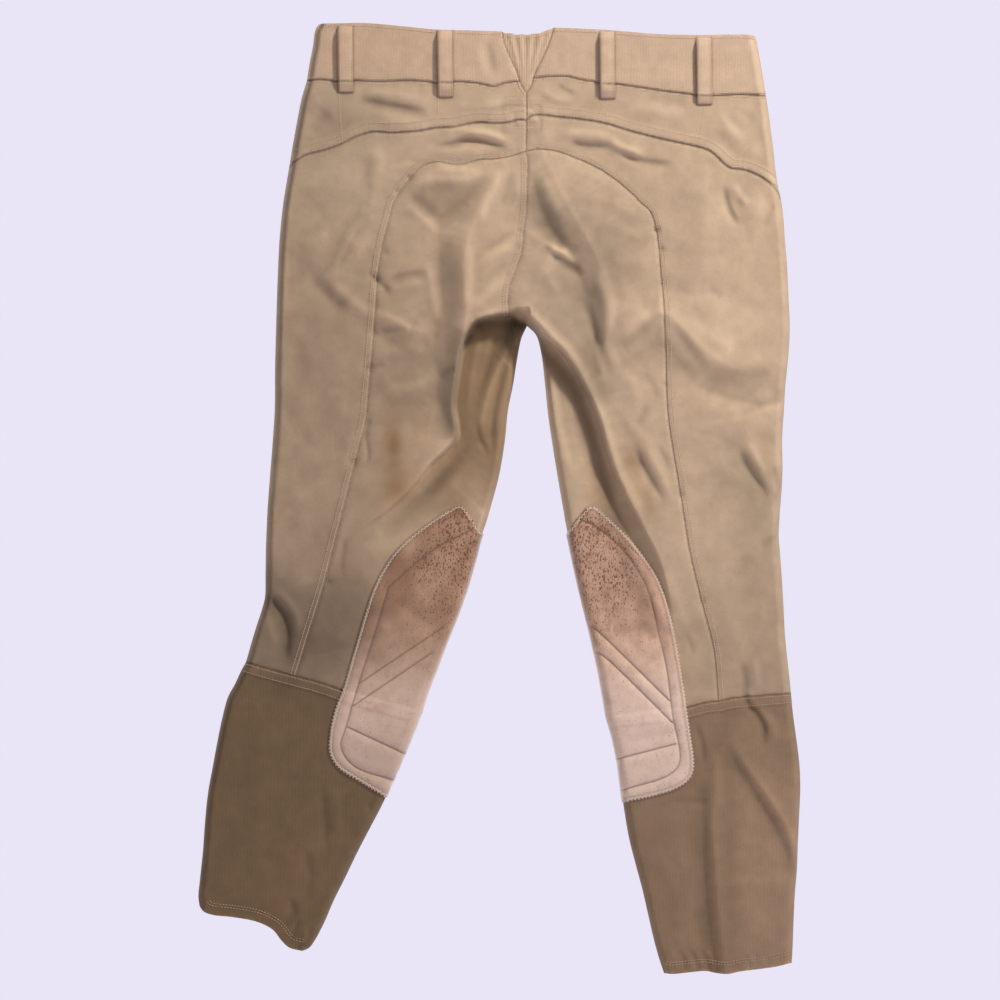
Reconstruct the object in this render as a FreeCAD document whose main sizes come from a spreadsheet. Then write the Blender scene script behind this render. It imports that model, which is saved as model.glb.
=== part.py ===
import FreeCAD, Part
import math
import os
import Sketcher

# Knee-patch riding breeches, laid flat on their front.
# Millimetres, +Z towards the waist, the back of the garment faces -Y, +X is the wearer's right.
# The origin is the middle of the waist opening, level with the top of the back waistband.
# A domed back layer and a flat front layer are cut into panels by prisms along Y.

Vec = FreeCAD.Vector
doc = FreeCAD.newDocument("RidingBreeches")
os.makedirs("parts", exist_ok=True)

# ------------------------------------------------------------------ driving dimensions
SIZES = {
    # cloth and general sizes
    "cloth": 1.2,             # thickness of a leg panel, turned edge included
    "seam": 0.2,              # half of the gap between neighbouring panels
    "margin": 14.0,           # unit by which a cutting outline runs past the silhouette
    "front_inner": 18.8,      # y of the inner face of the front layer
    "side_seam": 18.5,        # y at which the back layer ends at the side seams
    "suede": 1.2,             # thickness of a knee patch
    "patch_lift": 0.3,        # clearance under a knee patch
    "hip_level": -342.95,     # z of the hip fold
    "centre_front": 2.0,      # x of the fly
    "centre_end": -289.0,     # z at which the front layer's straight centre line ends
    "fly_half_gap": 8.0,      # half of the slot that shows the zip
    "fly_bottom": -185.0,     # z of the slot's lower end
    "cut_start": -70.0,       # y at which a cutting prism starts
    "cut_depth": 140.0,       # length of a cutting prism along Y
    # belt loops
    "loop_width": 15.6,
    "loop_cloth": 1.4,
    "loop_stand": 1.6,        # free height under a loop, for the belt
    "loop_seat": 0.35,        # from a loop's origin to the faces of its ends
    "back_loop_length": 63.0,
    "front_loop_length": 50.0,
    # zip
    "zip_top": -76.0,
    "tooth_pitch": 2.5,
    "tooth_height": 1.3,
    "tooth_width": 2.3,
    "tooth_depth": 2.4,
    "tooth_count": 42,
    "tooth_inner": 0.6,       # from the zip's middle line to the tips of the teeth
    "stop_extra": 0.4,        # how much deeper a stop is than a tooth
    "top_stop_height": 2.4,
    "top_stop_gap": 0.6,      # from the top of the zip to a top stop
    "bottom_stop_width": 5.6,
    "bottom_stop_height": 2.6,
    "zip_plane": 17.9,        # y of the middle of the tapes
    "tape_cloth": 0.6,
    "tape_width": 11.0,
    "tape_edge": 3.0,         # from the zip's middle line to a tape
    "tape_length": 116.0,
    "tape_above": 4.0,        # length of tape above the top of the zip
    "slider_level": -80.0,    # middle of the slider with the zip shut
    "slider_width": 8.4,
    "slider_height": 9.0,
    "slider_plate": 1.0,
    "slider_gap": 2.8,        # between the slider's two plates
    "neck_width": 0.8,
    "cheek_span": 6.6,        # over the outer faces of the two cheeks
    "cheek_gap": 5.4,         # between the two cheeks
    "pin_radius": 0.5,
    "pin_length": 6.2,
    "pin_level": 1.4,         # from the slider's front plate to the pull's pin
    "pin_rise": 0.01,         # z of the pin above the slider's middle
    "pull_length": 18.0,
    "pull_width": 5.0,
    "pull_plate": 1.0,
    "barrel_radius": 1.15,
    "barrel_bore": 0.7,       # radius of the bore
    # waist tab, studs, shield and label
    "tab_hinge_x": 22.0,
    "tab_end_x": -27.0,
    "tab_top": -25.0,
    "tab_bottom": -66.0,
    "tab_inner": 22.0,        # y of the tab's inner face
    "tab_cloth": 1.2,
    "stud_x": -16.0,
    "stud_upper": -35.0,      # z of the upper stud
    "stud_lower": -56.0,
    "stud_flange": 5.0,       # this and the next five are radii
    "stud_post": 1.9,
    "socket_bore": 2.4,
    "cap_radius": 6.0,
    "shank_radius": 1.5,
    "shank_bore": 1.8,
    "shield_width": 44.0,
    "shield_inner": 13.2,     # y of the shield's inner face
    "shield_cloth": 1.2,
    "shield_top": -70.5,
    "shield_bottom": -198.0,
    "label_width": 38.0,
    "label_height": 30.0,
    "label_cloth": 0.4,
    "label_middle": 1.0,      # x of the label's middle
    "label_bottom": -104.0,
    "label_gap": 0.9,
}

# Seam lines as points (x, z), each line from left to right or from top to bottom.
SEAMS = {
    "waist_left": [
        (-207.29, -54.15), (-163.40, -53.67), (-82.65, -55.57), (-29.45, -58.90), (-5.70, -54.15)],
    "waist_right": [
        (8.07, -51.30), (39.90, -49.88), (67.45, -55.10), (85.50, -57.00), (131.10, -63.65),
        (161.50, -67.17), (177.65, -68.11), (228.95, -68.11)],
    "top_left": [(-196.65, -0.95), (-152.95, 0.95), (-85.50, -5.22), (-22.42, -7.12)],
    "top_right": [
        (27.17, -3.51), (85.50, -6.27), (157.70, -10.45), (212.80, -10.45), (219.45, -13.30)],
    "yoke_left": [
        (-224.20, -136.80), (-209.00, -124.45), (-171.95, -113.05), (-144.40, -102.60),
        (-117.80, -103.07), (-83.60, -98.80), (-54.62, -95.00), (-14.25, -93.10), (1.23, -91.67)],
    "yoke_right": [
        (1.23, -91.67), (10.45, -87.40), (30.40, -88.35), (54.15, -90.82), (77.90, -95.00),
        (114.00, -104.97), (169.10, -117.80), (183.35, -127.30), (196.17, -134.90),
        (214.32, -138.70), (230.85, -148.20), (239.40, -156.75), (243.20, -166.25)],
    "princess_left": [
        (0.47, -121.60), (-28.50, -128.25), (-57.95, -133.00), (-80.75, -131.10),
        (-94.52, -133.95), (-110.20, -148.20), (-121.60, -163.40), (-129.20, -184.30),
        (-137.18, -217.55), (-141.07, -240.82), (-142.97, -275.50), (-146.30, -314.45),
        (-148.67, -342.95), (-151.05, -376.20), (-165.87, -433.20), (-180.50, -491.15),
        (-191.90, -535.80), (-205.58, -580.45), (-217.55, -619.40)],
    "princess_right": [
        (2.85, -121.60), (20.90, -119.70), (44.65, -126.35), (73.15, -139.65), (93.10, -153.90),
        (110.20, -170.05), (119.70, -180.50), (124.92, -198.55), (127.87, -227.05),
        (131.77, -266.00), (133.67, -304.95), (133.76, -342.95), (135.66, -376.20),
        (145.16, -433.20), (155.80, -498.75), (167.20, -547.20), (179.07, -593.75),
        (182.88, -644.57)],
    "knee_left": [(-278.35, -602.30), (-217.55, -619.40), (-174.80, -631.75), (-88.35, -656.45)],
    "knee_right": [(69.35, -658.82), (154.85, -648.38), (182.88, -644.57), (261.25, -635.55)],
    "patch_left": [
        (-61.18, -457.42), (-85.50, -470.25), (-110.58, -489.25), (-130.15, -510.72),
        (-143.45, -535.80), (-153.24, -565.06), (-162.92, -598.02), (-172.90, -632.32),
        (-180.50, -652.27), (-186.20, -675.45), (-186.20, -693.02), (-176.70, -706.61),
        (-159.03, -718.20), (-133.95, -731.50)],
    "patch_right": [
        (62.70, -458.38), (81.70, -472.15), (103.55, -494.95), (122.55, -520.60),
        (132.53, -543.40), (140.22, -572.85), (146.11, -603.82), (152.95, -648.57),
        (156.75, -675.45), (160.55, -704.62), (157.70, -716.30), (146.11, -724.85),
        (124.45, -732.45), (95.00, -740.05)],
    "hem_left": [
        (-309.70, -836.95), (-298.30, -845.50), (-278.73, -848.35), (-254.12, -853.10),
        (-239.40, -861.27), (-224.77, -875.90), (-211.85, -880.65)],
    "hem_right": [(132.05, -901.55), (183.07, -899.65), (230.47, -897.47), (253.37, -891.76)],
    "front_top": [
        (-196.65, -2.85), (-99.75, -15.20), (1.90, -20.90), (109.25, -19.00), (219.45, -14.25)],
    "front_seam": [
        (-207.10, -54.15), (-99.75, -64.60), (1.90, -70.30), (109.25, -70.30), (228.95, -68.11)],
}

# Cross-sections: z, left edge x, right edge x, crown depth, share that stays open at the
# centre back (0: the crown comes down at both edges, 1: it stays up at the centre back).
STATIONS = {
    "torso": [
        (9.50, -195.70, 215.65, 39.0, 0.00), (-34.20, -204.25, 223.25, 40.0, 0.00),
        (-79.80, -214.70, 229.90, 40.0, 0.00), (-119.70, -221.35, 236.55, 40.0, 0.00),
        (-178.60, -231.32, 245.57, 40.0, 0.00)],
    "seat_left": [
        (-79.80, -214.70, 0.95, 40.0, 1.00), (-125.40, -223.25, 1.90, 40.0, 1.00),
        (-171.00, -229.90, 0.95, 40.0, 1.00), (-228.00, -234.65, -7.60, 40.0, 1.00),
        (-262.20, -236.07, -14.25, 40.0, 1.00), (-279.30, -236.55, -7.60, 39.0, 0.45),
        (-292.60, -236.55, -1.90, 38.0, 0.00), (-319.20, -237.50, -7.60, 38.0, 0.00),
        (-357.20, -237.50, -14.25, 38.0, 0.00)],
    "seat_right": [
        (-79.80, 1.42, 229.90, 40.0, 1.00), (-125.40, 2.38, 236.55, 40.0, 1.00),
        (-171.00, 1.42, 244.15, 40.0, 1.00), (-228.00, -7.12, 248.90, 40.0, 1.00),
        (-262.20, -13.77, 250.80, 40.0, 1.00), (-279.30, -1.90, 251.75, 39.0, 0.45),
        (-292.60, 9.50, 251.75, 38.0, 0.00), (-319.20, 16.15, 249.85, 38.0, 0.00),
        (-357.20, 19.95, 246.05, 38.0, 0.00)],
    "leg_left": [
        (-328.70, -237.50, -9.50, 38.0, 0.00), (-387.60, -239.40, -18.05, 38.0, 0.00),
        (-444.60, -243.20, -29.45, 37.0, 0.00), (-490.20, -246.05, -42.75, 36.0, 0.00),
        (-535.80, -247.00, -56.05, 35.0, 0.00), (-558.60, -250.80, -63.65, 35.0, 0.00),
        (-592.80, -261.25, -76.95, 34.0, 0.00), (-638.40, -282.15, -95.00, 33.0, 0.00),
        (-684.00, -293.55, -110.20, 32.0, 0.00), (-729.60, -301.15, -132.05, 30.0, 0.00),
        (-775.20, -305.90, -152.95, 28.0, 0.00), (-832.20, -310.65, -181.45, 26.0, 0.00),
        (-893.00, -312.55, -221.35, 24.0, 0.00)],
    "leg_right": [
        (-328.70, 17.10, 248.90, 38.0, 0.00), (-387.60, 24.70, 244.15, 38.0, 0.00),
        (-444.60, 34.20, 244.15, 37.0, 0.00), (-490.20, 41.80, 241.30, 36.0, 0.00),
        (-535.80, 51.30, 244.15, 35.0, 0.00), (-558.60, 57.00, 247.00, 35.0, 0.00),
        (-592.80, 65.55, 248.90, 34.0, 0.00), (-638.40, 75.05, 252.70, 33.0, 0.00),
        (-684.00, 84.55, 258.40, 32.0, 0.00), (-729.60, 91.20, 261.25, 30.0, 0.00),
        (-775.20, 99.75, 259.35, 28.0, 0.00), (-832.20, 113.05, 255.55, 26.0, 0.00),
        (-912.00, 136.80, 252.70, 24.0, 0.00)],
}

# Belt loops: x of the middle, z of the top.
BACK_LOOPS = [(-170.6, -2.2), (-76.0, -6.5), (78.0, -8.0), (170.0, -13.5)]
FRONT_LOOPS = [(-95.0, -14.0), (99.0, -19.0)]


class Size:
    """A length that carries its number and its spreadsheet expression through arithmetic."""

    def __init__(self, value, text):
        self.value = value
        self.text = text

    def __float__(self):
        return self.value

    def __add__(self, other):
        other = as_size(other)
        return Size(self.value + other.value, "(%s + %s)" % (self.text, other.text))

    def __mul__(self, other):
        other = as_size(other)
        return Size(self.value * other.value, "(%s * %s)" % (self.text, other.text))

    __radd__ = __add__
    __rmul__ = __mul__

    def __sub__(self, other):
        other = as_size(other)
        return Size(self.value - other.value, "(%s - %s)" % (self.text, other.text))

    def __rsub__(self, other):
        return as_size(other) - self

    def __truediv__(self, other):
        other = as_size(other)
        return Size(self.value / other.value, "(%s / %s)" % (self.text, other.text))

    def __neg__(self):
        return -1 * self


def as_size(number):
    """A Size as it is, or a plain number turned into one."""
    if isinstance(number, Size):
        return number
    return Size(float(number), "(%.6f)" % number)


class Dimensions:
    """Every cell of the spreadsheet as a Size, one attribute for each alias."""


dims = Dimensions()


def fill_sheet():
    """One row for each dimension: its name in column A, its number and alias in column B."""
    cells = dict(SIZES)
    tables = dict(SEAMS, back_loop=BACK_LOOPS, front_loop=FRONT_LOOPS)
    for name, points in tables.items():
        for i, (x, z) in enumerate(points):
            cells["%s_%d_x" % (name, i)] = x
            cells["%s_%d_z" % (name, i)] = z
    for name, rows in STATIONS.items():
        for i, row in enumerate(rows):
            for column, value in zip(("z", "xl", "xr", "depth"), row):
                cells["%s_%d_%s" % (name, i, column)] = value
    sheet = doc.addObject("Spreadsheet::Sheet", "Dims")
    for row, (alias, value) in enumerate(cells.items(), start=1):
        sheet.set("A%d" % row, "'" + alias)
        sheet.set("B%d" % row, repr(round(float(value), 4)))
        sheet.setAlias("B%d" % row, alias)
        setattr(dims, alias, Size(float(value), "Dims." + alias))


fill_sheet()
doc.recompute()

# Positions that follow from the sheet.
FRONT_OUTER = dims.front_inner + dims.cloth      # y of the outer face of the front layer
HIP_ABOVE = dims.hip_level + dims.seam
HIP_BELOW = dims.hip_level - dims.seam
FLY_LEFT = dims.centre_front - dims.fly_half_gap
FLY_RIGHT = dims.centre_front + dims.fly_half_gap

# ------------------------------------------------------------------ helpers
PIECES = []


def piece(obj):
    """Marks an object for export under its label."""
    PIECES.append(obj)
    return obj


def bind(obj, path, size):
    obj.setExpression(path, as_size(size).text)


def place(obj, x, y, z):
    for axis, size in zip("xyz", (x, y, z)):
        bind(obj, ".Placement.Base." + axis, size)


def polygon(sketch, points):
    """A closed polygon whose corners are held by distances bound to the sheet."""
    points = [(as_size(u), as_size(v)) for u, v in points]
    count = len(points)
    spots = [Vec(float(u), float(v), 0) for u, v in points]
    sketch.addGeometry([Part.LineSegment(spots[i], spots[(i + 1) % count])
                        for i in range(count)], False)
    rules = [Sketcher.Constraint("Coincident", i, 2, (i + 1) % count, 1) for i in range(count)]
    for i, (u, v) in enumerate(points):
        rules.append(Sketcher.Constraint("DistanceX", -1, 1, i, 1, float(u)))
        rules.append(Sketcher.Constraint("DistanceY", -1, 1, i, 1, float(v)))
    sketch.addConstraint(rules)
    for i, (u, v) in enumerate(points):
        bind(sketch, "Constraints[%d]" % (count + 2 * i), u)
        bind(sketch, "Constraints[%d]" % (count + 2 * i + 1), v)


def circle(sketch, radius, centre=None):
    """A circle about the sketch's origin, or about a centre held by two distances."""
    u, v = centre or (0, 0)
    sketch.addGeometry(Part.Circle(Vec(float(u), float(v), 0), Vec(0, 0, 1), float(radius)), False)
    if centre:
        for kind, size in (("DistanceX", u), ("DistanceY", v)):
            rule = Sketcher.Constraint(kind, -1, 1, 0, 3, float(size))
            bind(sketch, "Constraints[%d]" % sketch.addConstraint(rule), size)
    else:
        sketch.addConstraint(Sketcher.Constraint("Coincident", 0, 3, -1, 1))
    index = sketch.addConstraint(Sketcher.Constraint("Radius", 0, float(radius)))
    bind(sketch, "Constraints[%d]" % index, radius)


def rectangle(left, right, bottom, top):
    return [(left, top), (right, top), (right, bottom), (left, bottom)]


def both_sides(right_side):
    """Closes a right-hand outline, given from the top down, with its mirror image."""
    return right_side + [(-x, z) for x, z in reversed(right_side)]


def prism(name, points, start=dims.cut_start, length=dims.cut_depth):
    """A prism along +Y over an outline of (x, z) points."""
    sketch = doc.addObject("Sketcher::SketchObject", name + "_outline")
    sketch.Placement = FreeCAD.Placement(Vec(0, float(start), 0),
                                         FreeCAD.Rotation(Vec(1, 0, 0), 90))
    bind(sketch, ".Placement.Base.y", start)
    polygon(sketch, points)
    extrusion = doc.addObject("Part::Extrusion", name)
    extrusion.Base = sketch
    extrusion.DirMode = "Custom"
    extrusion.Dir = Vec(0, 1, 0)
    extrusion.Solid = True
    bind(extrusion, "LengthFwd", length)
    return extrusion


def box(name, sizes, corner):
    """A box with its sizes and its low corner bound to the sheet."""
    block = doc.addObject("Part::Box", name)
    for prop, size in zip(("Length", "Width", "Height"), sizes):
        bind(block, prop, size)
    place(block, *corner)
    return block


def rod(name, radius, length, y, z):
    """A cylinder along +Y on the studs' x."""
    cylinder = doc.addObject("Part::Cylinder", name)
    cylinder.Placement = FreeCAD.Placement(Vec(0, 0, 0), FreeCAD.Rotation(Vec(1, 0, 0), -90))
    bind(cylinder, "Radius", radius)
    bind(cylinder, "Height", length)
    place(cylinder, dims.stud_x, y, z)
    return cylinder


def combine(kind, name, base, tool):
    """A Part::Cut, Part::Common or Part::Fuse of two objects."""
    result = doc.addObject("Part::" + kind, name)
    result.Base = base
    result.Tool = tool
    return result


def fuse_all(name, shapes):
    result = doc.addObject("Part::MultiFuse", name)
    result.Shapes = shapes
    return result


def group(name, members):
    """One piece made of several separate solids."""
    compound = doc.addObject("Part::Compound", name)
    compound.Links = members
    piece(compound)


def body_sketch(body, plane, name):
    """A sketch on an origin plane. YZ_Plane takes (y, z) points, XZ_Plane (x, z) points."""
    sketch = body.newObject("Sketcher::SketchObject", name)
    support = next(item for item in body.Origin.OriginFeatures if item.Role == plane)
    sketch.AttachmentSupport = [(support, "")]
    sketch.MapMode = "FlatFace"
    return sketch


def midplane(body, kind, name, sketch, length):
    """A Pad or Pocket, half of its length on each side of the sketch."""
    feature = body.newObject("PartDesign::" + kind, name)
    feature.Profile = sketch
    feature.Midplane = True
    bind(feature, "Length", length)


# ------------------------------------------------------------------ back layers
SEGMENTS = 12                 # chords in a crown
CROWN = 0.62                  # shape of the crown: flat in the middle, steep at the side seams
HOLLOW_PAST_CENTRE = 4.0      # how far the hollow of a seat layer runs past the centre back


def profile(share, mirrored):
    """Unit cross-section (u across, g height) from the left edge to the right edge."""
    rows = []
    for i in range(SEGMENTS + 1):
        angle = math.pi * i / SEGMENTS
        u = ((1 - share) * (1 - math.cos(angle)) / 2
             + share * (1 - math.cos(angle / 2)))
        g = ((1 - share) * max(math.sin(angle), 0.0) ** CROWN
             + share * max(math.sin(angle / 2), 0.0) ** CROWN)
        rows.append((u, g))
    if mirrored:
        rows = [(1 - u, g) for u, g in reversed(rows)]
    return rows


def section(name, family, i, grow, plane, open_side, past_centre):
    """A closed cross-section at station i."""
    share = STATIONS[family][i][4]
    station = "%s_%d_" % (family, i)
    left = getattr(dims, station + "xl") - grow
    right = getattr(dims, station + "xr") + grow
    depth = getattr(dims, station + "depth") + grow
    mirrored = open_side == "left"
    if past_centre and share > 0:
        past = share * (HOLLOW_PAST_CENTRE - grow)
        if mirrored:
            left = left - past
        else:
            right = right + past
    points = [(left + (right - left) * u, dims.side_seam - depth * g)
              for u, g in profile(share, mirrored)]
    if plane:                 # straight ends down to the closing plane
        points += [(points[-1][0], plane), (points[0][0], plane)]
    sketch = doc.addObject("Sketcher::SketchObject", "%s_section_%d" % (name, i))
    bind(sketch, ".Placement.Base.z", getattr(dims, station + "z"))
    polygon(sketch, points)
    return sketch


def tube(name, family, stations, grow, plane=None, open_side=None, past_centre=False):
    """A solid through several stations.
    grow pushes the crown outward (negative: inward); plane is the y at which the sections are
    closed towards the front, or None to close them at the side seams; open_side is the edge of
    the centre back; past_centre lets the solid run past it, so that no wall is left there."""
    loft = doc.addObject("Part::Loft", name)
    loft.Sections = [section(name, family, i, grow, plane, open_side, past_centre)
                     for i in stations]
    loft.Solid = True
    loft.Ruled = True
    return loft


def back_layer(family, open_side=None):
    """The back layer over one tube of the garment, one cloth thickness deep."""
    name = family + "_layer"
    stations = range(len(STATIONS[family]))
    outer = tube(name + "_outer", family, stations, as_size(0), open_side=open_side)
    inner = tube(name + "_inner", family, stations, -dims.cloth, plane=dims.front_inner + 3,
                 open_side=open_side, past_centre=True)
    return combine("Cut", name, outer, inner)


# ------------------------------------------------------------------ front layers
def edge(family, side, stations):
    """Points on the left (xl) or right (xr) edge of a tube."""
    return [(getattr(dims, "%s_%d_%s" % (family, i, side)), getattr(dims, "%s_%d_z" % (family, i)))
            for i in stations]


def front_layer(name, points):
    return prism(name, points, dims.front_inner, dims.cloth)


def front_seat_left_layer():
    centre = dims.centre_front - dims.seam
    return front_layer(
        "front_seat_left_layer",
        edge("torso", "xl", (0, 1)) + edge("seat_left", "xl", range(9))
        + edge("seat_left", "xr", (8, 7, 6))
        + [(centre, dims.centre_end), (centre, dims.torso_0_z)])


def front_seat_right_layer():
    centre = dims.centre_front + dims.seam
    return front_layer(
        "front_seat_right_layer",
        [(centre, dims.torso_0_z), (centre, dims.centre_end)]
        + edge("seat_right", "xl", (6, 7, 8))
        + edge("seat_right", "xr", range(8, -1, -1)) + edge("torso", "xr", (1, 0)))


def front_leg_layer(side):
    family = "leg_" + side
    stations = range(len(STATIONS[family]))
    return front_layer("front_%s_layer" % family,
                       edge(family, "xl", stations) + edge(family, "xr", reversed(stations)))


# ------------------------------------------------------------------ panel outlines
def point(seam, i, gap_x=0, gap_z=0, over_x=0, over_z=0):
    """A point of a seam line, moved by multiples of the seam gap and of the cutting margin."""
    x = getattr(dims, "%s_%d_x" % (seam, i))
    z = getattr(dims, "%s_%d_z" % (seam, i))
    return (x + gap_x * dims.seam + over_x * dims.margin,
            z + gap_z * dims.seam + over_z * dims.margin)


def line(seam, gap_x, gap_z, first=0, stop=None, back=False):
    """The points of a seam line from first up to stop, reversed if back is set."""
    order = list(range(len(SEAMS[seam])))[first:stop]
    if back:
        order.reverse()
    return [point(seam, i, gap_x, gap_z) for i in order]


def common(name, layer, tool):
    """A panel: the part of a layer inside a cutting prism."""
    return piece(combine("Common", name, layer, tool))


def panel(name, layer, points):
    """A panel with a cutting prism of its own."""
    return common(name, layer, prism(name + "_cut", points))


SEAT_REACH = 290.0            # x beyond the side seams of the seat
LEG_REACH = 330.0             # x beyond the outer edges of the legs
INNER_REACH = 40.0            # x past the middle, for the inner panels
BACK_MIDDLE = 0.95            # x of the middle of the back waist
OUTER_REACH = 8.0             # x past the middle, for the outer seat panels
OUTER_TOP = -92.2             # z of the outer seat panels' upper edge there
OUTER_FOOT = -121.2           # z of their lower edge there
INNER_TOP = -122.0            # z of the inner seat panels' upper edge past the middle
BAND_JOINT = 18.2             # x of the joint in the front waistband
FRONT_REACH = 12.0            # x past the middle, for the front panels below the fly
KNEE_OUTSIDE_LEFT = -594.2    # z of the left knee seam at LEG_REACH
KNEE_INSIDE_RIGHT = -657.2    # z of the right knee seam at INNER_REACH
HEM_OUTSIDE_LEFT = -834.0     # z of the left hem at LEG_REACH


def back_waist(torso):
    """Waistband halves with the gusset between them, and the two yokes below."""
    panel("waistband_back_left", torso,
          [point("top_left", 0, 0, 0, -3, 0)] + line("top_left", 0, 0, 0, 3)
          + [point("top_left", 3, -1, 0), point("waist_left", 4, -1, 1)]
          + line("waist_left", 0, 1, 1, 4, back=True)
          + [point("waist_left", 0, 0, 1), point("waist_left", 0, 0, 1, -3, 0)])
    panel("waistband_back_right", torso,
          [point("top_right", 0, 1, 0)] + line("top_right", 0, 0, 1)
          + [point("top_right", 4, 0, 0, 3, 0), point("waist_right", 7, 0, 1, 3, 0)]
          + line("waist_right", 0, 1, 1, back=True) + [point("waist_right", 0, 1, 1)])
    panel("back_gusset", torso,
          [point("top_left", 3, 1, 0), (BACK_MIDDLE, -9.0), point("top_right", 0, -1, 0),
           point("waist_right", 0, -1, 0), (BACK_MIDDLE, -65.2), point("waist_left", 4, 1, 0)])
    yoke_top = -66.2          # z of the yokes' upper corner at the middle
    panel("yoke_left", torso,
          [point("waist_left", 0, 0, -1, -3, 0)] + line("waist_left", 0, -1)
          + [(BACK_MIDDLE - dims.seam, yoke_top), point("yoke_left", 8, -1, 1)]
          + line("yoke_left", 0, 1, 0, 8, back=True) + [point("yoke_left", 0, 0, 1, -3, -1)])
    panel("yoke_right", torso,
          line("waist_right", 0, -1)
          + [point("waist_right", 7, 0, -1, 3, 0), point("yoke_right", 12, 0, 1, 3, -1)]
          + line("yoke_right", 0, 1, 1, back=True)
          + [point("yoke_right", 0, 1, 1), (BACK_MIDDLE + dims.seam, yoke_top)])


def back_seat_left(layer):
    """Seat panels outside and inside the left princess seam."""
    panel("seat_outer_left", layer,
          [point("yoke_left", 0, 0, -1, -3, -1)] + line("yoke_left", 0, -1)
          + [(OUTER_REACH, OUTER_TOP), (OUTER_REACH, OUTER_FOOT), point("princess_left", 0, 0, 1)]
          + line("princess_left", -1, 1, 1, 12)
          + [(dims.princess_left_12_x - dims.seam, HIP_ABOVE), (-SEAT_REACH, HIP_ABOVE)])
    panel("seat_inner_left", layer,
          [(INNER_REACH, INNER_TOP), point("princess_left", 0, 0, -1)]
          + line("princess_left", 1, -1, 1, 12)
          + [(dims.princess_left_12_x + dims.seam, HIP_ABOVE), (INNER_REACH, HIP_ABOVE)])


def back_seat_right(layer):
    """Seat panels outside and inside the right princess seam."""
    panel("seat_outer_right", layer,
          [(-OUTER_REACH, OUTER_TOP)] + line("yoke_right", 0, -1)
          + [point("yoke_right", 12, 0, -1, 3, -1), (SEAT_REACH, HIP_ABOVE),
             (dims.princess_right_11_x + dims.seam, HIP_ABOVE)]
          + line("princess_right", 1, 1, 1, 11, back=True)
          + [point("princess_right", 0, 0, 1), (-OUTER_REACH, OUTER_FOOT)])
    panel("seat_inner_right", layer,
          [(-INNER_REACH, INNER_TOP), point("princess_right", 0, 0, -1)]
          + line("princess_right", -1, -1, 1, 11)
          + [(dims.princess_right_11_x - dims.seam, HIP_ABOVE), (-INNER_REACH, HIP_ABOVE)])


def front_seat(left_layer, right_layer):
    """Front waistband halves and the two upper fronts beside the fly."""
    # The left band runs past the centre front, so its layer is widened there first.
    extension = front_layer("front_band_left_blank", rectangle(-30.0, 30.0, -80.0, 6.0))
    band_layer = fuse_all("front_band_blank", [left_layer, extension])
    joint_left = BAND_JOINT - dims.seam
    joint_right = BAND_JOINT + dims.seam
    panel("waistband_front_left", band_layer,
          [point("front_top", 0, 0, 0, -3, 0)] + line("front_top", 0, 0, 0, 3)
          + [(joint_left, -21.0), (joint_left, -69.8)]
          + line("front_seam", 0, 1, 0, 3, back=True) + [point("front_seam", 0, 0, 1, -3, 0)])
    panel("waistband_front_right", right_layer,
          [(joint_right, -20.9)] + line("front_top", 0, 0, 3)
          + [point("front_top", 4, 0, 0, 3, 0), point("front_seam", 4, 0, 1, 3, 0)]
          + line("front_seam", 0, 1, 3, back=True) + [(joint_right, -69.9)])
    fly_top = -70.2
    panel("front_upper_left", left_layer,
          [point("front_seam", 0, 0, -1, -3, 0)] + line("front_seam", 0, -1, 0, 2)
          + [(FLY_LEFT, fly_top), (FLY_LEFT, dims.fly_bottom), (FRONT_REACH, dims.fly_bottom),
             (FRONT_REACH, HIP_ABOVE), (-SEAT_REACH, HIP_ABOVE)])
    panel("front_upper_right", right_layer,
          [(FLY_RIGHT, fly_top)] + line("front_seam", 0, -1, 3)
          + [point("front_seam", 4, 0, -1, 3, 0), (SEAT_REACH, HIP_ABOVE),
             (-FRONT_REACH, HIP_ABOVE), (-FRONT_REACH, dims.fly_bottom),
             (FLY_RIGHT, dims.fly_bottom)])


def leg_left_panels(back, front):
    """Left leg: two thigh panels behind, one in front, and the calf panels below the knee."""
    above_knee = (-LEG_REACH, KNEE_OUTSIDE_LEFT + dims.seam)
    below_knee = (-LEG_REACH, KNEE_OUTSIDE_LEFT - dims.seam)
    panel("thigh_outer_left", back,
          [(-SEAT_REACH, HIP_BELOW), (dims.princess_left_12_x - dims.seam, HIP_BELOW)]
          + line("princess_left", -1, 0, 13, 18)
          + [point("princess_left", 18, -1, 1), point("knee_left", 0, 0, 1), above_knee])
    panel("thigh_inner_left", back,
          [(dims.princess_left_12_x + dims.seam, HIP_BELOW), (INNER_REACH, HIP_BELOW),
           point("knee_left", 3, 0, 1, 3, 0), point("knee_left", 3, 0, 1),
           point("knee_left", 2, 0, 1), point("princess_left", 18, 1, 1)]
          + line("princess_left", 1, 0, 13, 18, back=True))
    panel("front_thigh_left", front,
          [(-LEG_REACH, HIP_BELOW), (INNER_REACH, HIP_BELOW), point("knee_left", 3, 0, 1, 3, 0)]
          + line("knee_left", 0, 1, back=True) + [above_knee])
    calf_cut = prism(
        "calf_left_cut",
        [below_knee] + line("knee_left", 0, -1)
        + [point("knee_left", 3, 0, -1, 3, 0), point("hem_left", 6, 0, 0, 2, -1)]
        + line("hem_left", 0, 0, back=True) + [(-LEG_REACH, HEM_OUTSIDE_LEFT)])
    common("cuff_back_left", back, calf_cut)
    common("cuff_front_left", front, calf_cut)


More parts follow.
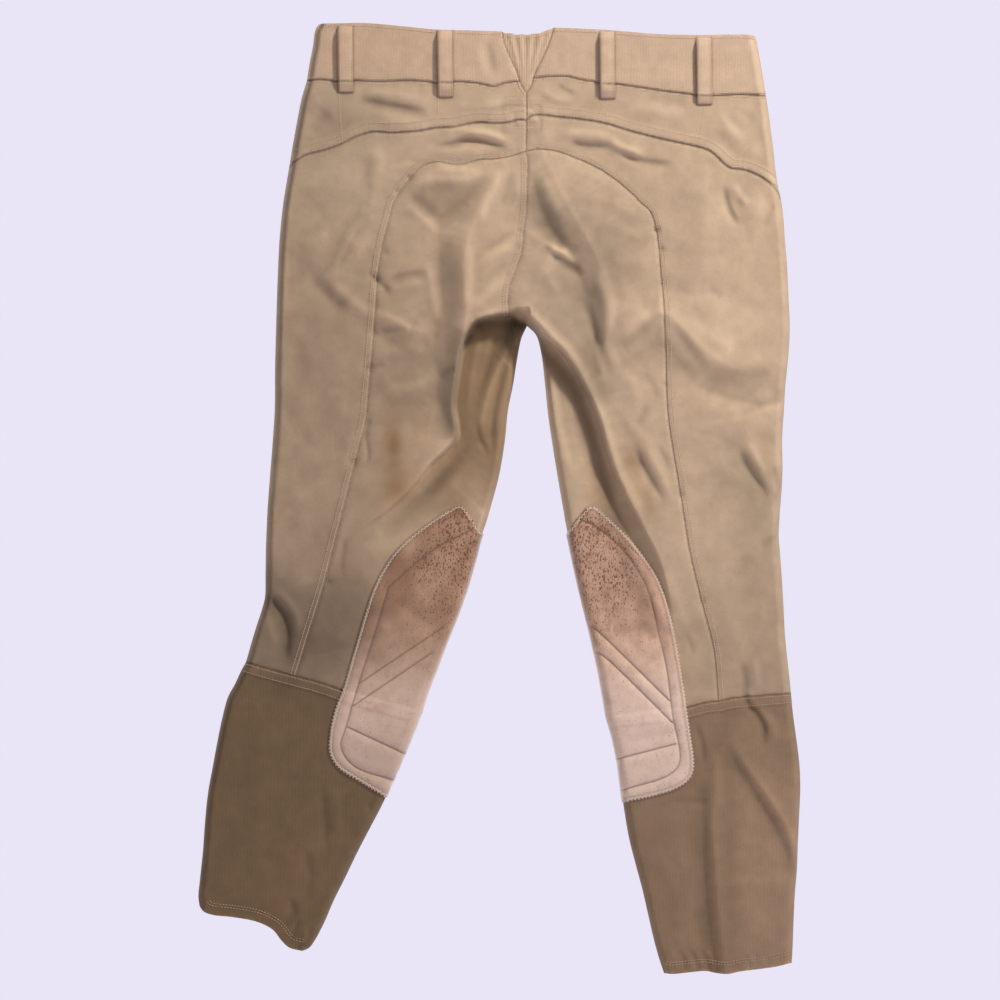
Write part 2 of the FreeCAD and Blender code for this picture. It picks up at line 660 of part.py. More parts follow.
def leg_right_panels(back, front):
    """Right leg: the same panels as on the left."""
    above_knee = (-INNER_REACH, KNEE_INSIDE_RIGHT + dims.seam)
    below_knee = (-INNER_REACH, KNEE_INSIDE_RIGHT - dims.seam)
    panel("thigh_outer_right", back,
          [(dims.princess_right_11_x + dims.seam, HIP_BELOW), (SEAT_REACH, HIP_BELOW),
           point("knee_right", 3, 0, 1, 1, 0), point("knee_right", 3, 0, 1),
           point("princess_right", 17, 1, 1)]
          + line("princess_right", 1, 0, 12, 17, back=True))
    panel("thigh_inner_right", back,
          [(-INNER_REACH, HIP_BELOW), (dims.princess_right_11_x - dims.seam, HIP_BELOW)]
          + line("princess_right", -1, 0, 12, 17)
          + [point("princess_right", 17, -1, 1), point("knee_right", 1, 0, 1),
             point("knee_right", 0, 0, 1), above_knee])
    panel("front_thigh_right", front,
          [(-INNER_REACH, HIP_BELOW), (LEG_REACH, HIP_BELOW), point("knee_right", 3, 0, 1, 1, 0)]
          + line("knee_right", 0, 1, back=True) + [above_knee])
    calf_cut = prism(
        "calf_right_cut",
        [below_knee] + line("knee_right", 0, -1)
        + [point("knee_right", 3, 0, -1, 1, 0), point("hem_right", 3, 0, 0, 1, 0)]
        + line("hem_right", 0, 0, back=True) + [point("hem_right", 0, 0, 0, -3, 0)])
    common("cuff_back_right", back, calf_cut)
    common("cuff_front_right", front, calf_cut)


# ------------------------------------------------------------------ knee patches
PATCH_STATIONS = range(2, 11)
PATCH_REACH = 30.0            # x past the middle
PATCH_TOP = -480.0            # z of the cutting outline there


def knee_patches(side, inward, knee_end, beyond_above, beyond_below):
    """Upper and lower patch, wrapped round the inseam.
    inward is the sign of x towards the other leg, knee_end the knee seam's point at the inseam;
    the outlines pass beyond the inseam just above and just below the knee seam."""
    family, patch, knee = "leg_" + side, "patch_" + side, "knee_" + side
    thickness = dims.patch_lift + dims.suede
    outer = tube(patch + "_outer", family, PATCH_STATIONS, thickness,
                 plane=FRONT_OUTER + thickness)
    inner = tube(patch + "_inner", family, PATCH_STATIONS, dims.patch_lift,
                 plane=FRONT_OUTER + dims.patch_lift)
    ring = combine("Cut", patch + "_layer", outer, inner)
    panel("knee_patch_upper_" + side, ring,
          line(patch, 0, 0, 0, 7)
          + [point(patch, 7, 0, 1), point(knee, knee_end, 0, 1), beyond_above,
             (inward * PATCH_REACH, PATCH_TOP), point(patch, 0, 0, 0, inward * 1.6, -1.9)])
    panel("knee_patch_lower_" + side, ring,
          [point(patch, 7, 0, -1)] + line(patch, 0, 0, 8, 14)
          + [point(patch, 13, 0, 0, inward * 4, -0.5), beyond_below,
             point(knee, knee_end, 0, -1)])


# ------------------------------------------------------------------ belt loops
def crown_y(x, z):
    """y of the torso's crown at x, z, measured from the front layer's inner face."""
    rows = STATIONS["torso"]
    upper, lower = next((a, b) for a, b in zip(rows, rows[1:]) if b[0] <= z <= a[0])
    share = (upper[0] - z) / (upper[0] - lower[0])
    left, right, depth = (a + (b - a) * share for a, b in zip(upper[1:4], lower[1:4]))
    points = [(left + (right - left) * u, float(dims.front_inner) - depth * g)
              for u, g in profile(0, False)]
    return next(y0 + (y1 - y0) * (x - x0) / (x1 - x0)
                for (x0, y0), (x1, y1) in zip(points, points[1:]) if x0 <= x <= x1)


def loop_body(name, length):
    """One belt loop: a strip that stands off in the middle and is folded down at both ends.
    Its own origin is the top of the strip on the band's face, and it stands off towards -Y."""
    body = doc.addObject("PartDesign::Body", name)
    sketch = body_sketch(body, "YZ_Plane", name + "_side")
    seat = -dims.loop_seat
    under = -dims.loop_stand
    over = -(dims.loop_stand + dims.loop_cloth)
    polygon(sketch, [(seat, -0.01), (over, -1.5), (over, 1.5 - length), (seat, -length),
                     (seat, 7 - length), (under, 9 - length), (under, -8.0), (seat, -6.0)])
    midplane(body, "Pad", name + "_pad", sketch, dims.loop_width)
    return body


def place_loop(body, name, y, turn):
    """Sets a loop on its x and z from the sheet, turned about Z by some degrees."""
    body.Placement = FreeCAD.Placement(Vec(0, 0, 0), FreeCAD.Rotation(Vec(0, 0, 1), turn))
    place(body, getattr(dims, name + "_x"), y, getattr(dims, name + "_z"))


def belt_loops_back():
    half = float(dims.loop_width) / 2
    loops = []
    for i, (x, z) in enumerate(BACK_LOOPS):
        body = loop_body("back_loop_%d" % (i + 1), dims.back_loop_length)
        # The loop lies along the band: its turn about Z follows the slope of the crown.
        y_left, y_right = (max(crown_y(x + shift, z - drop) for drop in (0, 30, 60))
                           for shift in (-half, half))
        slope = (y_right - y_left) / (2 * half)
        # It is moved outward until no sampled point of the crown stands above its base line.
        rise = min(crown_y(x + shift, z - drop) - (y_left + slope * (shift + half))
                   for shift in (-half, -half / 2, 0, half / 2, half)
                   for drop in (0, 15, 30, 45, 62))
        y = (y_left + y_right) / 2 + min(rise, 0.0)
        place_loop(body, "back_loop_%d" % i, y, math.degrees(math.atan(slope)))
        loops.append(body)
    group("belt_loops_back", loops)


def belt_loops_front():
    loops = []
    for i in range(len(FRONT_LOOPS)):
        body = loop_body("front_loop_%d" % (i + 1), dims.front_loop_length)
        place_loop(body, "front_loop_%d" % i, FRONT_OUTER, 180)
        loops.append(body)
    group("belt_loops_front", loops)


# ------------------------------------------------------------------ zip
# x of the low corner of a tooth or top stop, and how many pitches each row starts down.
TOOTH_ROWS = {
    "left": (dims.centre_front - dims.tooth_inner - dims.tooth_width, 0.0),
    "right": (dims.centre_front + dims.tooth_inner, 0.5),
}


def zip_tapes():
    for side, x in (("left", dims.centre_front - dims.tape_edge - dims.tape_width),
                    ("right", dims.centre_front + dims.tape_edge)):
        piece(box("zip_tape_" + side, (dims.tape_width, dims.tape_cloth, dims.tape_length),
                  (x, dims.zip_plane - dims.tape_cloth / 2,
                   dims.zip_top + dims.tape_above - dims.tape_length)))


def zip_teeth():
    for side, (x, offset) in TOOTH_ROWS.items():
        teeth = [box("tooth_%s_%d" % (side, i + 1),
                     (dims.tooth_width, dims.tooth_depth, dims.tooth_height),
                     (x, dims.zip_plane - dims.tooth_depth / 2,
                      dims.zip_top - dims.tooth_height - dims.tooth_pitch * (i + offset)))
                 for i in range(SIZES["tooth_count"])]
        group("zip_teeth_" + side, teeth)


def zip_stops():
    depth = dims.tooth_depth + dims.stop_extra
    y = dims.zip_plane - depth / 2
    group("zip_top_stops", [
        box("top_stop_" + side, (dims.tooth_width, depth, dims.top_stop_height),
            (x, y, dims.zip_top + dims.top_stop_gap))
        for side, (x, _) in TOOTH_ROWS.items()])
    teeth_end = dims.zip_top - dims.tooth_height - dims.tooth_pitch * dims.tooth_count
    piece(box("zip_bottom_stop", (dims.bottom_stop_width, depth, dims.bottom_stop_height),
              (dims.centre_front - dims.bottom_stop_width / 2, y,
               teeth_end - dims.bottom_stop_height)))


def zip_slider():
    """Front and back plate joined by the neck, with two cheeks and the pull's pin in front."""
    body = doc.addObject("PartDesign::Body", "zip_slider")
    half_width, half_height = dims.slider_width / 2, dims.slider_height / 2
    half_gap = dims.slider_gap / 2
    face = half_gap + dims.slider_plate          # y of the front plate's outer face

    plate = body_sketch(body, "XZ_Plane", "slider_plate_outline")
    polygon(plate, both_sides([
        (half_width - 0.9, half_height), (half_width, half_height - 1.6),
        (half_width - 1.2, 0.8 - half_height), (half_width - 2.0, -half_height)]))
    midplane(body, "Pad", "slider_block", plate, dims.slider_gap + 2 * dims.slider_plate)

    # The channels leave the neck standing between them.
    for side, sign in (("right", 1), ("left", -1)):
        channel = body_sketch(body, "YZ_Plane", "slider_channel_" + side)
        polygon(channel, rectangle(-half_gap, half_gap, -dims.slider_height, dims.slider_height))
        bind(channel, ".AttachmentOffset.Base.z", sign * dims.neck_width / 2)
        pocket = body.newObject("PartDesign::Pocket", "slider_channel_cut_" + side)
        pocket.Profile = channel
        pocket.Reversed = sign > 0
        bind(pocket, "Length", dims.slider_width)

    cheeks = body_sketch(body, "YZ_Plane", "slider_cheeks_outline")
    root = face - 0.2                            # sunk into the plate
    tip = face + dims.pin_level + 0.9
    polygon(cheeks, [(root, -1.5), (tip, -1.1), (tip, 1.1), (root, 1.5)])
    midplane(body, "Pad", "slider_cheeks", cheeks, dims.cheek_span)
    slot = body_sketch(body, "YZ_Plane", "slider_slot_outline")
    polygon(slot, rectangle(face, face + 6.0, -4.0, 4.0))
    midplane(body, "Pocket", "slider_slot", slot, dims.cheek_gap)
    pin = body_sketch(body, "YZ_Plane", "slider_pin_outline")
    circle(pin, dims.pin_radius, (face + dims.pin_level, dims.pin_rise))
    midplane(body, "Pad", "slider_pin", pin, dims.pin_length)

    place(body, dims.centre_front, dims.zip_plane, dims.slider_level)
    piece(body)


def zip_pull():
    """A barrel on the pin and a tapered tab with a slot."""
    body = doc.addObject("PartDesign::Body", "zip_pull")
    half_width, foot = dims.pull_width / 2, -dims.pull_length

    barrel = body_sketch(body, "YZ_Plane", "pull_side")
    circle(barrel, dims.barrel_radius)
    midplane(body, "Pad", "pull_barrel", barrel, dims.pull_width - 0.2)
    tab = body_sketch(body, "XZ_Plane", "pull_tab_outline")
    polygon(tab, both_sides([(half_width - 0.7, -0.6), (half_width, -5.0),
                             (half_width, foot + 1.5), (half_width - 1.5, foot)]))
    midplane(body, "Pad", "pull_tab", tab, dims.pull_plate)
    bore = body_sketch(body, "YZ_Plane", "pull_bore_outline")
    circle(bore, dims.barrel_bore)
    midplane(body, "Pocket", "pull_bore", bore, dims.pull_width + 2)
    slot = body_sketch(body, "XZ_Plane", "pull_slot_outline")
    polygon(slot, rectangle(-1.1, 1.1, foot + 2.6, foot + 8.0))
    midplane(body, "Pocket", "pull_slot", slot, dims.pull_plate + 2)

    pin_y = dims.zip_plane + dims.slider_gap / 2 + dims.slider_plate + dims.pin_level
    place(body, dims.centre_front, pin_y, dims.slider_level + dims.pin_rise)
    piece(body)


# ------------------------------------------------------------------ waist tab and studs
def stud(tag, z):
    """A flange on the front layer with a post towards the tab."""
    flange = rod("stud_flange_" + tag, radius=dims.stud_flange, length=0.45,
                 y=FRONT_OUTER + 0.05, z=z)
    post = rod("stud_post_" + tag, radius=dims.stud_post, length=1.3, y=FRONT_OUTER + 0.3, z=z)
    return combine("Fuse", "stud_" + tag, flange, post)


def stud_socket(tag, z):
    """A cup behind the tab, a shank through it and a cap on its outer face."""
    ring = rod("socket_ring_" + tag, radius=dims.stud_flange, length=1.35,
               y=dims.tab_inner - 1.4, z=z)
    bore = rod("socket_bore_" + tag, radius=dims.socket_bore, length=1.2,
               y=dims.tab_inner - 1.5, z=z)
    cup = combine("Cut", "socket_cup_" + tag, ring, bore)
    shank = rod("socket_shank_" + tag, radius=dims.shank_radius, length=dims.tab_cloth + 0.3,
                y=dims.tab_inner - 0.2, z=z)
    cap = rod("socket_cap_" + tag, radius=dims.cap_radius, length=0.8,
              y=dims.tab_inner + dims.tab_cloth + 0.05, z=z)
    return fuse_all("socket_" + tag, [cup, shank, cap])


def waist_tab():
    """The tab across the centre front, with a hole for each shank."""
    blank = box("waist_tab_blank",
                (dims.tab_hinge_x - dims.tab_end_x, dims.tab_cloth,
                 dims.tab_top - dims.tab_bottom),
                (dims.tab_end_x, dims.tab_inner, dims.tab_bottom))
    holes = [rod("tab_hole_" + tag, radius=dims.shank_bore, length=4, y=dims.tab_inner - 1, z=z)
             for tag, z in STUDS]
    piece(combine("Cut", "waist_tab", blank, fuse_all("tab_holes", holes)))


STUDS = (("upper", dims.stud_upper), ("lower", dims.stud_lower))


# ------------------------------------------------------------------ shield and label
def fly_shield():
    """A flat strip inside the garment, behind the zip."""
    piece(box("fly_shield",
              (dims.shield_width, dims.shield_cloth, dims.shield_top - dims.shield_bottom),
              (dims.centre_front - dims.shield_width / 2, dims.shield_inner,
               dims.shield_bottom)))


def blank_label():
    """A flat label inside the back of the waist."""
    piece(box("blank_label", (dims.label_width, dims.label_cloth, dims.label_height),
              (dims.label_middle - dims.label_width / 2,
               dims.front_inner - dims.torso_1_depth + dims.cloth + dims.label_gap,
               dims.label_bottom)))


# ------------------------------------------------------------------ assembly
back_waist(back_layer("torso"))
back_seat_left(back_layer("seat_left", "right"))
back_seat_right(back_layer("seat_right", "left"))
front_seat(front_seat_left_layer(), front_seat_right_layer())
leg_left_panels(back_layer("leg_left"), front_leg_layer("left"))
leg_right_panels(back_layer("leg_right"), front_leg_layer("right"))
knee_patches("left", inward=1, knee_end=3,
             beyond_above=point("knee_left", 3, 0, 1, 3, 0),
             beyond_below=point("knee_left", 3, 0, -1, 3, 0))
knee_patches("right", inward=-1, knee_end=0,
             beyond_above=(-PATCH_REACH, -658.2),
             beyond_below=(-PATCH_REACH, -658.8))
belt_loops_back()
belt_loops_front()
zip_tapes()
zip_teeth()
zip_stops()
zip_slider()
zip_pull()
waist_tab()
group("waist_studs", [stud(tag, z) for tag, z in STUDS])
group("waist_stud_sockets", [stud_socket(tag, z) for tag, z in STUDS])
fly_shield()
blank_label()

# ------------------------------------------------------------------ checks and export
doc.recompute()
bad = []
for obj in doc.Objects:
    state = [s for s in obj.State if "Invalid" in s or "Error" in s]
    if state:
        bad.append((obj.Name, state))
for obj in PIECES:
    if obj.Shape.isNull() or not obj.Shape.isValid() or obj.Shape.Volume < 0.01:
        bad.append((obj.Label, "shape"))
if bad:
    raise RuntimeError("failed: %s" % bad)
for obj in PIECES:
    obj.Shape.exportStep("parts/%s.step" % obj.Label)
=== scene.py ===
"""A pair of trousers, laid flat and standing upright, with the back towards the viewer.

+X is to the viewer's right, which is also the wearer's right, and +Z is up, with the waist near
z = 0. The back layer bulges towards -Y and the front layer is nearly flat on the +Y side.
Left means -X and right means +X.

The cloth is drawn on a pattern grid: u runs to the right, v runs down, and one unit is nominally
0.95 mm. Names with u and v, seam offsets and fold widths are in pattern units. Heights of the
relief are in millimetres. Everything else is in metres.
"""
import bpy, math
import numpy as np
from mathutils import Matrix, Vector, geometry, kdtree


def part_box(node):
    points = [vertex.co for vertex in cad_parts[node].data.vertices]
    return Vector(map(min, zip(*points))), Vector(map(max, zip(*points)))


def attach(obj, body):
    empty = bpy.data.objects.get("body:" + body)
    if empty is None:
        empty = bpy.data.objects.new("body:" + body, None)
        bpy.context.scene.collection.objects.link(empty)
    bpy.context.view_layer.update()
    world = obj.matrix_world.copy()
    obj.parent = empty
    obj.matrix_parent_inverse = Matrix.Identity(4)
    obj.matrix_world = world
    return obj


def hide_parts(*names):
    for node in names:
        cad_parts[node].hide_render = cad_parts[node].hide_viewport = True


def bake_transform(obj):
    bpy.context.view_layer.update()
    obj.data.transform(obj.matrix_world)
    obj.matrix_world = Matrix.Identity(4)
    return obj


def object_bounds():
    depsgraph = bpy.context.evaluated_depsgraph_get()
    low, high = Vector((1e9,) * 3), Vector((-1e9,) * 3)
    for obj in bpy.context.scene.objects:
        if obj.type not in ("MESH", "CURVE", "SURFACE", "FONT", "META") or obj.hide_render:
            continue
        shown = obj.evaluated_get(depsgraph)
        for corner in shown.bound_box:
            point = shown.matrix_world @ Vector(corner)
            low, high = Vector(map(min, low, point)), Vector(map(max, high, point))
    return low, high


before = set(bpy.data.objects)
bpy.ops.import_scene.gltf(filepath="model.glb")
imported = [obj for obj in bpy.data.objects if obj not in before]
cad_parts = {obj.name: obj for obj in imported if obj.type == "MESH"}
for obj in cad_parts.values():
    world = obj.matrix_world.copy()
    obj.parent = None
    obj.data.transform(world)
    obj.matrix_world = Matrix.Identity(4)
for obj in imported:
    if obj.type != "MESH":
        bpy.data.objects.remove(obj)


def plain(box):
    return [[float(c) for c in corner] for corner in box]


CAD_BOX = plain(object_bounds())
scene = bpy.context.scene

# ---------------------------------------------------------------- pattern grid and view
CAD_WIDTH = 0.572043              # nominal width of the CAD box
UNIT = 0.95e-3 * (CAD_BOX[1][0] - CAD_BOX[0][0]) / CAD_WIDTH
U0, V0 = 525.0, 24.0              # the pattern point at x = 0, z = 0
SIDE_Y = 0.0185                   # side seams
FRONT_Y = 0.0200                  # outer face of the front layer
LENS, SENSOR = 120.0, 36.0        # camera, mm
VIEW_WIDTH = 0.95                 # nominal width seen at the side seams
VIEW_UNITS = 1000                 # the same width in pattern units
VIEW_DISTANCE = VIEW_WIDTH * LENS / SENSOR
CAM_X = (VIEW_UNITS / 2 - U0) * UNIT
CAM_Z = (V0 - VIEW_UNITS / 2) * UNIT
BAND_LIFT = 0.5e-3                # the back waistband stands above the other back cloth
BACK_THICK, FRONT_THICK = 1.15e-3, 1.1e-3


def mm(x):
    """Millimetres to pattern units."""
    return x * 1e-3 / UNIT


def place(u, v, y):
    """Pattern point and depth to metres. Cloth nearer the viewer is drawn a touch smaller, so
    that it still covers its own pattern point in the view."""
    scale = 1 + (np.asarray(y) - SIDE_Y) / VIEW_DISTANCE
    scale = np.where(np.asarray(y) < SIDE_Y, scale, 1.0)
    x = (np.asarray(u) - U0) * UNIT
    z = (V0 - np.asarray(v)) * UNIT
    return np.stack([CAM_X + (x - CAM_X) * scale, np.broadcast_to(y, np.shape(x)),
                     CAM_Z + (z - CAM_Z) * scale], -1)


# ---------------------------------------------------------------- text tables
def points(text):
    """Points written as "u,v u,v ..." (or "u,v,height")."""
    return [tuple(float(c) for c in word.split(",")) for word in text.split()]


def table(text):
    """Rows of "points | values". Blank lines and lines that start with # are passed over."""
    out = []
    for row in text.splitlines():
        if row.strip() and not row.strip().startswith("#"):
            line, _, values = row.partition("|")
            out.append((points(line), [float(n) for n in values.split()]))
    return out


# ---------------------------------------------------------------- curves
def as_points(line):
    return np.asarray(line, float).reshape(-1, 2)


def gaps(line):
    return np.hypot(*(line[1:] - line[:-1]).T)


def resample(line, step):
    """The polyline with points at even steps."""
    line = as_points(line)
    line = line[np.r_[True, gaps(line) > 1e-6]]
    run = np.r_[0, np.cumsum(gaps(line))]
    count = max(2, int(round(run[-1] / step)) + 1)
    t = np.linspace(0, run[-1], count)
    return np.stack([np.interp(t, run, line[:, 0]), np.interp(t, run, line[:, 1])], -1)


def between(t, t_a, t_b, a, b):
    return (t_b - t) / (t_b - t_a) * a + (t - t_a) / (t_b - t_a) * b


def curve(line, step=2.4):
    """A smooth (centripetal Catmull-Rom) curve through the points, evenly resampled."""
    line = as_points(line)
    if len(line) < 3:
        return resample(line, step)
    padded = np.vstack([2 * line[0] - line[1], line, 2 * line[-1] - line[-2]])
    out = []
    for i in range(1, len(padded) - 2):
        p0, p1, p2, p3 = padded[i - 1:i + 3]
        t0 = 0.0
        t1 = t0 + max(np.hypot(*(p1 - p0)), 1e-6) ** 0.5
        t2 = t1 + max(np.hypot(*(p2 - p1)), 1e-6) ** 0.5
        t3 = t2 + max(np.hypot(*(p3 - p2)), 1e-6) ** 0.5
        t = np.linspace(t1, t2, 12, endpoint=False)[:, None]
        middle = between(t, t1, t2, p1, p2)
        first = between(t, t0, t2, between(t, t0, t1, p0, p1), middle)
        last = between(t, t1, t3, middle, between(t, t2, t3, p2, p3))
        out.append(between(t, t1, t2, first, last))
    out.append(line[-1:])
    return resample(np.vstack(out), step)


def curves(text):
    """Curves end to end: a / closes one, and the next starts from the same point."""
    out, start = [], []
    for part in text.split("/"):
        line = start + points(part)
        out.append(curve(line))
        start = line[-1:]
    return out


def chain(parts):
    """Curves that meet end to end as one line."""
    return np.vstack([parts[0]] + [part[1:] for part in parts[1:]])


def join(*parts):
    """A closed loop from curves that meet end to end."""
    rows = []
    for part in parts:
        apart = not rows or np.hypot(*(rows[-1][-1] - part[0])) > 0.05
        rows.append(part if apart else part[1:])
    loop = np.vstack(rows)
    return loop[:-1] if np.hypot(*(loop[0] - loop[-1])) < 0.05 else loop


def closed(loop):
    return np.vstack([loop, loop[:1]])


def offset(line, distance):
    """The polyline moved sideways (+ to the right of travel with v down)."""
    line = as_points(line)
    t = np.gradient(line, axis=0)
    t /= np.hypot(t[:, 0], t[:, 1])[:, None] + 1e-12
    return line + distance * np.stack([-t[:, 1], t[:, 0]], -1)


def length(line):
    return float(gaps(as_points(line)).sum())


def nearest(places, line):
    """Distance, side (+1 is to the right of travel with v down) and run along the polyline of
    its nearest point."""
    start, step = line[:-1], line[1:] - line[:-1]
    size = np.hypot(step[:, 0], step[:, 1]) + 1e-12
    run = np.r_[0, np.cumsum(size)[:-1]]
    rel = places[:, None, :] - start[None]
    t = np.clip((rel * step).sum(-1) / (size * size), 0, 1)
    miss = rel - t[..., None] * step
    square = (miss * miss).sum(-1)
    k = square.argmin(1)
    j = np.arange(len(places))
    cross = step[k, 0] * rel[j, k, 1] - step[k, 1] * rel[j, k, 0]
    return np.sqrt(square[j, k]), np.where(cross >= 0, 1.0, -1.0), run[k] + t[j, k] * size[k]


def smooth(x):
    x = np.clip(x, 0, 1)
    return x * x * (3 - 2 * x)


def bell(x):
    return np.exp(-x ** 2)


def inside(places, loop):
    places, loop = as_points(places), as_points(loop)
    x, y = places[:, 0], places[:, 1]
    out = np.zeros(len(places), bool)
    x0, y0 = loop[:, 0], loop[:, 1]
    x1, y1 = np.roll(x0, -1), np.roll(y0, -1)
    for i in range(len(loop)):
        if y0[i] == y1[i]:
            continue
        spans = (y0[i] > y) != (y1[i] > y)
        out ^= spans & (x < (x1[i] - x0[i]) * (y - y0[i]) / (y1[i] - y0[i]) + x0[i])
    return out


class Near:
    """Fast distance to a set of lines."""

    def __init__(self, lines):
        self.points = np.vstack(lines)
        before, after = [], []
        for line in lines:
            first, last = len(before), len(before) + len(line) - 1
            before += [max(i - 1, first) for i in range(first, last + 1)]
            after += [min(i + 1, last) for i in range(first, last + 1)]
        self.before, self.after = np.array(before), np.array(after)
        self.tree = kdtree.KDTree(len(self.points))
        for i, p in enumerate(self.points):
            self.tree.insert((float(p[0]), float(p[1]), 0.0), i)
        self.tree.balance()

    def __call__(self, u, v):
        found = (self.tree.find((a, b, 0.0))[1] for a, b in zip(u.tolist(), v.tolist()))
        index = np.fromiter(found, int, len(u))
        places = np.stack([u, v], -1)
        centre = self.points[index]
        best = np.hypot(*(places - centre).T)
        for other in (self.points[self.before[index]], self.points[self.after[index]]):
            step = other - centre
            square = (step * step).sum(-1)
            t = np.clip(((places - centre) * step).sum(-1) / np.maximum(square, 1e-9), 0, 1)
            best = np.minimum(best, np.hypot(*(places - centre - t[:, None] * step).T))
        return best


# ---------------------------------------------------------------- outline and seam lines
# Each runs downwards, or from left to right. Side seams: waistband, yoke, seat, leg, cuff.
SIDE_LEFT = curves("""318.5,24.5 315.2,30 313,46 310,61 306.8,81 /
    302,97 297.3,120 293,144 289,168 /
    286,186 283,205 279.5,240 277.3,288 276,330 275,372 274.8,408 272.5,444 269.7,480 267.6,508
    267,520 / 266,545 265.5,575 265,597 261.5,611 256.5,626 250.5,646 246,662 /
    241,671 235,684 228,697 222.5,717 217.5,741 212.5,768 208,793 205,822 203,850 200,879
    198.4,896 199.5,906""")
SIDE_RIGHT = curves("""756,38 759.3,55 763,78 766,95.7 /
    768.5,112 771,132 773.5,150 775.5,170 778,186 781,199 /
    783.2,215 785,240 787,264 788.7,300 789.8,328 788.4,356 785.5,384 784,410 782.2,440
    782.6,468 781.5,492 780,510 779.5,520 /
    778.7,536 780,553 782,580 783.5,605 785,635 787.5,660 789.5,678 791,693 /
    793,714 796,736 799.3,763 800.3,786 799.5,809 798,840 797,868 795,892 793.6,920 792.5,950
    791.7,962.7""")
# Inner edges of the legs: seat, leg, cuff
INNER_LEFT = curves("""527,326 521.5,338 517,360 513,385 508,410 505,440 499,476 491,506 487,520 /
    480,541 474,564 465,594 454,624 444,649 435,673 428,691 421.3,712 /
    413,733 403.5,756 392.5,781 383,803 370,828 357,853 346,876 334,900 324,923 315,940 309,948
    302,951""")
INNER_RIGHT = curves("""527,326 536,335 541,352 545,384 548,414 552.5,445 557.5,476 562.5,505
    565,520 / 569,541 574,565 581.5,598 589,628 594,650 599,673 603,695 606.5,716.5 /
    612,735 617.5,760 621,786 624.5,812 629,838 635,862 642,888 648,914 654,940 659,958
    664,973""")
HEM_LEFT, = curves("199.5,906 203.5,911.5 213,915 231.6,917 257.5,922 273,930 281,940 289,947.5 "
                   "302,951")
HEM_RIGHT, = curves("664,973 672,974 690,972.3 706,971 716,973 728,974 740,971.5 760,969 "
                    "777,966.5 791.7,962.7")
TOP_LEFT, = curves("318.5,24.5 323,23.6 340,23.4 364,23 400,26 435,29.5 470,30.5 501.4,31.5")
TOP_GUSSET = curve(points("501.4,31.5 506,33.4 511,33.1 517,35 522,33.9 527,35 533,33.6 "
                          "539,33.4 546,30.6 553.6,27.7"), 1.6)
TOP_RIGHT, = curves("553.6,27.7 580,28.6 615,30.6 650,33.6 691,35 730,34.6 749,34.8 753.5,35.6 "
                    "756,38")
# Edges of the elastic gusset: down to the waist seam, then to its point
GUSSET_LEFT = [curve(points("501.4,31.5 504,44 510.5,60 516,72 519,81")),
               curve(points("519,81 522,88 526,93"), 1.6)]
GUSSET_RIGHT = [curve(points("553.6,27.7 549.5,42 541,61 536,71 533.5,78")),
                curve(points("533.5,78 530.5,86 526,93"), 1.6)]
WAIST_LEFT, = curves("""306.8,81 318,79.6 338,81 353,80.5 380,81.5 410,80.5 438,82.5 460,81.8
    476,83 494,86.3 503,83.5 519,81""")
WAIST_RIGHT, = curves("""533.5,78 550,76.6 567,76.5 580,79.5 596,82 615,84 640,87.5 663,91
    680,93 695,94.7 712,95.7 740,94.6 766,95.7""")
# Centre seam: yoke, between yoke and curved seams, seat
CENTRE = curves("""526,93 526.3,120.5 / 525.5,152 /
    527.3,161 526.8,185 526,211 523.5,231 522,250 515,271 509,288 508,304 509.5,316""")
YOKE_LEFT, = curves("""289,168 294.5,162 305,155.5 322,151 340,144.7 356,137 373,132 390,132.8
    401,132.5 420,131 437,128 452,127.3 467.5,124.2 480,122.6 497,123.3 510,122.4 519,119.8
    526.3,120.5""")
YOKE_RIGHT, = curves("""526.3,120.5 531,116.5 538,115 557,117 582,119.6 607,124 626,130 645,135
    675,142 703,148.3 711,152 718,158 724,164 731.5,168.5 741,169.5 750.6,172 761,177 768,182
    777,190.5 781,199""")
# Curved seams from the centre seam down to the knees
ARC_LEFT = curves("""525.5,152 510,157 495,159.5 480,160 464,164.5 452,165 440,162.5 425.5,165
    416,172 409,180 402,188 397,196 392,206 389,218 384.5,235 380.6,253 377.3,277.5 374.8,314
    371.5,355 368.8,385 365.5,420 358,450 350.4,480 340.3,520 /
    335,541 323,588 308.6,635 296,676""")
ARC_RIGHT = curves("""525.5,152 535,150 547,150 560,152.5 572,157 587,163 602,171 614,179 623,186
    633,195 641,203.5 648,209 652.5,217 656.5,233 659.6,263 663.2,304 665.5,345 666,385
    668.3,420 677.8,480 684.3,520 / 689,549 701,600 713.5,649 718,701""")
KNEE_LEFT = curves("246,662 270,669 296,676 / 320,682.5 341,689.5 380,700.5 421.3,712")
KNEE_RIGHT = curves("606.5,716.5 648,712 688,707 704,702.5 718,701 / 735,697.5 760,695.5 791,693")
# Level cuts between the upper and lower leg pieces
CUT_LEFT = curves("267,520 340.3,520 / 487,520")
CUT_RIGHT = curves("565,520 684.3,520 / 779.5,520")
CROTCH = resample(points("509.5,316 518,321 527,326"), 2.4)

SIDES = [np.vstack(part) for part in (SIDE_LEFT, INNER_LEFT, SIDE_RIGHT, INNER_RIGHT)]
ARC_LINE_LEFT, ARC_LINE_RIGHT = chain(ARC_LEFT), chain(ARC_RIGHT)
KNEE_LINES = [chain(KNEE_LEFT), chain(KNEE_RIGHT)]

